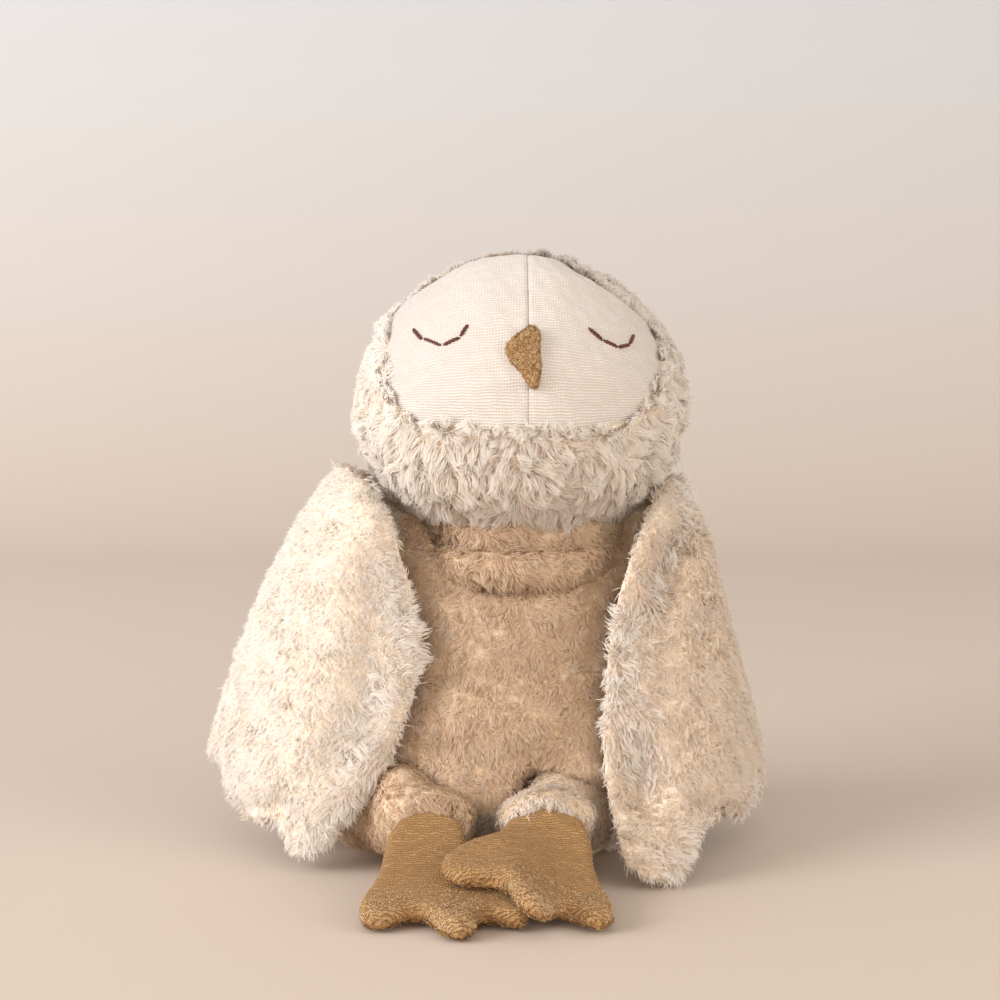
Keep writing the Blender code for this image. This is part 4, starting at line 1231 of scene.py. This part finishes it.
def beyond_face(points):
    """How far outside the velour's edge each point lies, negative inside, in metres."""
    local = taper(points, -1) - np.array(HEAD_CENTRE)
    turn = np.arctan2(local @ np.array(FACE_UP), local @ np.array(FACE_OUT))
    here = np.stack([local[:, 0], turn * HEAD_RADIUS], axis=1)
    edge = face_polygon * np.array([1.0, HEAD_RADIUS])
    best = np.full(len(points), 1e9)
    inside = np.zeros(len(points), dtype=bool)
    for start, end in zip(edge, np.roll(edge, -1, axis=0)):
        along = end - start
        share = np.clip((here - start) @ along / (along @ along), 0, 1)
        best = np.minimum(best, np.linalg.norm(here - start - share[:, None] * along, axis=1))
        if start[1] == end[1]:
            continue
        crosses = (start[1] > here[:, 1]) != (end[1] > here[:, 1])
        x_at = start[0] + (here[:, 1] - start[1]) / (end[1] - start[1]) * along[0]
        inside ^= crosses & (here[:, 0] < x_at)
    return np.where(inside, -best, best)


face_point = on_egg(np.array([SEAM_X]), np.array([0.2]), 0.0)[0]


falling = toward(0.0, 0.0, -1.0)


def head_flow(roots, out):
    """Away from the face near its edge, and down farther off."""
    away = lay_flat(roots - face_point, out)
    beyond = beyond_face(roots)[:, None]
    near = np.exp(-beyond / (16 * MM))
    over = np.exp(-(beyond / (4 * MM)) ** 2)
    raised = (roots - np.array(HEAD_CENTRE)) @ np.array(FACE_UP) / HEAD_RADIUS
    upper = np.clip((raised + 0.05) / 0.25, 0, 1)[:, None]
    return away * (0.35 + 0.8 * near - (1.4 - 0.8 * upper) * over) + falling(roots, out) * 0.7


def head_front(roots, out):
    """The chin and cheeks: thick pile, none under the velour."""
    return (beyond_face(roots) > 0.4 * MM) * (roots[:, 1] < 0.0)


def head_back(roots, out):
    return (beyond_face(roots) > 0.4 * MM) * (roots[:, 1] >= 0.0)


def face_edge(roots, out):
    return np.abs(beyond_face(roots) + 0.7 * MM) < 2.0 * MM


def head_trim(roots, out):
    """Shorter pile right at the velour's edge, and on the smooth left cheek."""
    cheek = np.clip((roots[:, 0] - HEAD_CENTRE.x + 52 * MM) / (14 * MM), 0, 1)
    raised = np.clip((roots[:, 2] - HEAD_CENTRE.z + 8 * MM) / (16 * MM), 0, 1)
    return (0.6 + 0.4 * np.clip(beyond_face(roots) / (8 * MM), 0, 1)) * (1 - 0.5 * (1 - cheek) * raised)


def edge_flow(roots, out):
    """Some clumps over the velour's edge, some away from it, most a little down."""
    away = lay_flat(roots - face_point, out)
    along = np.cross(out, away)
    turn = waves(roots, 8 * MM, 17)[:, None]
    raised = (roots - np.array(HEAD_CENTRE)) @ np.array(FACE_UP) / HEAD_RADIUS
    bias = 0.8 * np.clip((raised + 0.05) / 0.25, 0, 1) - 0.6
    return away * (0.7 * waves(roots, 6 * MM, 18) + bias)[:, None] + along * turn * 0.6


CHIN_STROKES = combings(hood, [
    ((395, 440), (400, 470)), ((440, 450), (448, 480)), ((480, 455), (484, 490)), ((520, 450), (522, 485)),
    ((560, 450), (566, 478)), ((610, 445), (624, 468)), ((650, 420), (670, 434)), ((450, 500), (458, 525)),
    ((520, 500), (512, 530)), ((590, 490), (572, 518)), ((640, 460), (652, 488)), ((372, 400), (362, 425)),
])
grow("chin_pile", hood, "head", 2.9, 7.0 * MM, head_flow, head_front, lean=(14, 84),
     width=0.22 * MM, clump=5.5 * MM, pull=0.7, wander=0.75, strokes=CHIN_STROKES, trim=head_trim, seed=11)
grow("head_under_pile", hood, "head", 2.4, 3.2 * MM, head_flow, head_front, lean=(20, 70), width=0.2 * MM,
     clump=2.2 * MM, wander=0.6, strand=SHORT, seed=14)
grow("face_edge_pile", hood, "head", 6.5, 5.6 * MM, edge_flow, face_edge, lean=(18, 88), tone=1.0,
     clump=3.5 * MM, pull=0.55, wander=0.4, sink=0.3 * MM, seed=13)
grow("head_pile_back", hood, "head", 1.5, 6.0 * MM, head_flow, head_back, width=0.30 * MM, trim=head_trim,
     strand=SHORT, seed=12)

# %% [markdown]
# ## Pile on the body
#
# The belly's pile hangs and is pressed flat by the wings. Under the head, in the leg sockets
# and below the seat it never shows, and there it is thin or left out.

# %% Pile on body and neck
SEAT_HEIGHT = 6 * MM
SOCKET_HEIGHT = 44 * MM


def off_head(points):
    """Distance from the head's middle as a share of the egg's own radius."""
    size = np.array([HEAD_HALF_WIDTH, HEAD_RADIUS, HEAD_RADIUS])
    return np.linalg.norm((points - np.array(HEAD_CENTRE)) / size, axis=1)


def on_belly(roots):
    """What shows between the wings."""
    return (roots[:, 1] < 0) * (np.abs(roots[:, 0] - 7 * MM) < 46 * MM) * (roots[:, 2] > 26 * MM)


def body_shown(roots, out):
    """Above the seat, out of the leg sockets and not under the head."""
    socket = (roots[:, 2] < SOCKET_HEIGHT) * (roots[:, 1] < 0) * (out[:, 1] > 0.1)
    return (roots[:, 2] > SEAT_HEIGHT) * (1.0 - 0.9 * (off_head(roots) < 1.0)) * (1.0 - 0.95 * socket)


def belly(roots, out):
    return on_belly(roots) * body_shown(roots, out)


def back(roots, out):
    """The back and the flanks, which the wings cover."""
    return (1 - on_belly(roots)) * body_shown(roots, out)


def seat(roots, out):
    return (roots[:, 2] <= SEAT_HEIGHT) * (out[:, 2] > -0.8)


def seat_flow(roots, out):
    return lay_flat(out * np.array([1.0, 1.0, 0.0]) + np.array([0.0, 0.0, -0.1]), out)


def neck_flow(roots, out):
    """Round the neck and a little down."""
    around = np.stack([-roots[:, 1], roots[:, 0] - HEAD_CENTRE.x, np.zeros(len(roots))], axis=1)
    return falling(roots, out) * 0.8 + lay_flat(around, out) * 0.8


def neck_shown(roots, out):
    return (out[:, 2] > -0.85) * (off_head(roots) > 1.0)


# The belly's pile is painted in shade: its tone lies near the dull and shaded tip.
grow("belly_pile", body, "body", 4.0, 4.2 * MM, falling, belly, width=0.19 * MM, clump=3.0 * MM,
     tone=0.1, strand=SHORT, seed=21)
grow("back_pile", body, "body", 1.08, 5.6 * MM, falling, back, width=0.33 * MM, strand=SHORT,
     seed=22)
grow("seat_pile", body, "body", 1.2, 5.0 * MM, seat_flow, seat, width=0.36 * MM, lean=(70, 90),
     strand=SHORT, seed=23)
# The neck's pile is painted in shade, darkest at the front under the chin and lighter towards the back.
grow("neck_pile", neck, "neck", 2.4, 5.2 * MM, neck_flow, neck_shown,
     tone=lambda r: 0.85 * np.clip(r[:, 1] / (20 * MM), 0, 1), strand=SHORT, seed=31)

# %% Pile on the legs
leg_flow = toward(0.0, -0.9, -0.3)


def leg_shown(roots, out):
    """The cuffs and the front of the thighs; the rest lies under wing and body."""
    return (1.0 - 0.8 * (roots[:, 1] > -22 * MM)) * (roots[:, 2] > 3 * MM)


# Painted shade on the legs' pile: the left leg's pile is toned darkest, the right one a little below the lit
# default.
CUFF_SHADE_TONES = {"left": 0.0, "right": 0.75}


def at_cuff(side):
    """The last stretch of the sleeve, which hangs over the foot's upper edge."""
    front = points_of(legs[side])[:, 1].min()
    return lambda roots, out: (roots[:, 1] < front + 7 * MM) * (roots[:, 2] > 14 * MM)


for number, side in enumerate(SIDES):
    grow("leg_pile_" + side, legs[side], "leg_" + side, 3.0, 3.4 * MM, leg_flow, leg_shown, width=0.19 * MM,
         wander=0.5, lean=(25, 85), tone=CUFF_SHADE_TONES[side], strand=SHORT, seed=41 + number)
    grow("cuff_fringe_" + side, legs[side], "leg_" + side, 3.6, 7.0 * MM, leg_flow, at_cuff(side),
         lean=(34, 100),
         width=0.2 * MM, tone=CUFF_SHADE_TONES[side], wander=0.35, seed=43 + number)

# %% [markdown]
# ## Pile on the wings
#
# The wings are brushed down and a little outwards. At the hem the strands of both cloths hang
# past the edge as a fringe, and along the front edge they turn over it towards the belly.

# %% Pile on the wings
WING_STROKES = {
    "left": [
        ((388, 520), (400, 532)), ((405, 590), (418, 602)), ((408, 660), (422, 668)),
        ((395, 730), (408, 742)), ((355, 785), (366, 798)), ((300, 830), (300, 850)),
        ((215, 740), (206, 756)), ((250, 800), (250, 815)), ((300, 560), (285, 590)),
        ((260, 660), (245, 690)), ((330, 700), (325, 730))],
    "right": [
        ((650, 510), (636, 526)), ((618, 580), (606, 596)), ((604, 660), (592, 672)),
        ((600, 740), (588, 750)), ((604, 810), (594, 826)), ((640, 860), (640, 884)),
        ((755, 770), (764, 790)), ((720, 580), (728, 610)), ((700, 680), (712, 710)),
        ((670, 760), (676, 790)), ((730, 790), (732, 812))],
}

WING_RIMS = {
    "left": [
        (395, 500), (404, 530), (412, 570), (418, 610), (424, 655), (416, 700), (398, 748),
        (368, 790), (326, 830)],
    "right": [
        (676, 480), (650, 505), (628, 540), (610, 590), (598, 650), (592, 700), (590, 760),
        (596, 810), (612, 862), (640, 885), (680, 860)],
}
OUTWARD = {"left": -1.0, "right": 1.0}


def facing(side, sign):
    """The wing's outer cloth for sign 1, its lining for -1."""
    def keep(roots, out):
        look = out[:, 0] * OUTWARD[side] * 0.75 - out[:, 1] * 0.65 + 0.1 * out[:, 2]
        return look * sign > 0
    return keep


def near_rim(side):
    """A function from places to 1 on the wing's rolled front edge and 0 in its field."""
    return nearness(wings[side], WING_RIMS[side], 8 * MM)


# Painted shade on the wings' pile: the right wing's field is toned darker, the left keeps a lit tone.
WING_SHADE_TONES = {"left": 0.95, "right": 0.6}
NOTCH_DEPTH = 0.3
NOTCHES = {"left": [(262, 822), (275, 815)], "right": [(698, 822), (720, 820), (755, 808)]}


def hem_trim(side):
    """Shorter pile where the hem is notched, so that the notch stays open."""
    notched = nearness(wings[side], NOTCHES[side], 7 * MM)
    return lambda roots, out: 1 - NOTCH_DEPTH * notched(roots)


for number, side in enumerate(SIDES):
    strokes = combings(wings[side], WING_STROKES[side])
    outer, rim_share = facing(side, 1), near_rim(side)
    flow = toward(0.2 * OUTWARD[side], -0.1, -1.0)
    grow("wing_pile_" + side, wings[side], "wing_" + side, 4.4, 3.3 * MM, flow, outer, width=0.18 * MM,
         lean=(12, 64), clump=1.8 * MM, pull=0.3, wander=0.5, strokes=strokes, tone=WING_SHADE_TONES[side],
         trim=hem_trim(side),
         strand=SHORT, seed=51 + number)
    # The rolled rims keep a lit tone, so on the right wing the rim is painted lighter than the shaded field.
    grow("wing_rim_pile_" + side, wings[side], "wing_" + side, 3.3, 6.0 * MM, flow,
         lambda r, o: outer(r, o) * rim_share(r), width=0.20 * MM, clump=3.6 * MM, strokes=strokes, tone=0.95,
         trim=hem_trim(side), seed=53 + number)
    grow("lining_pile_" + side, wings[side], "wing_" + side, 1.1, 5.5 * MM, flow, facing(side, -1),
         width=0.36 * MM, lean=(48, 88), strand=SHORT, seed=61 + number)

# %% [markdown]
# ## What lies inside
#
# The filling and the bag of beans stay as the model has them. Nobody sees them unless the toy
# is opened, but they get their cloth too.

# %% Inner pieces
for node, material in (("head_stuffing", filling), ("body_stuffing", filling), ("leg_left_stuffing", filling),
                       ("leg_right_stuffing", filling), ("bean_pouch", bean_cotton)):
    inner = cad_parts[node]
    if not inner.material_slots:
        inner.data.materials.append(material)
    for slot in inner.material_slots:
        slot.material = material
    print(node, material.name)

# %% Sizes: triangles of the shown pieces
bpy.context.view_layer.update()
total = 0
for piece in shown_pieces():
    if piece.type == "MESH":
        piece.data.calc_loop_triangles()
        total += len(piece.data.loop_triangles)
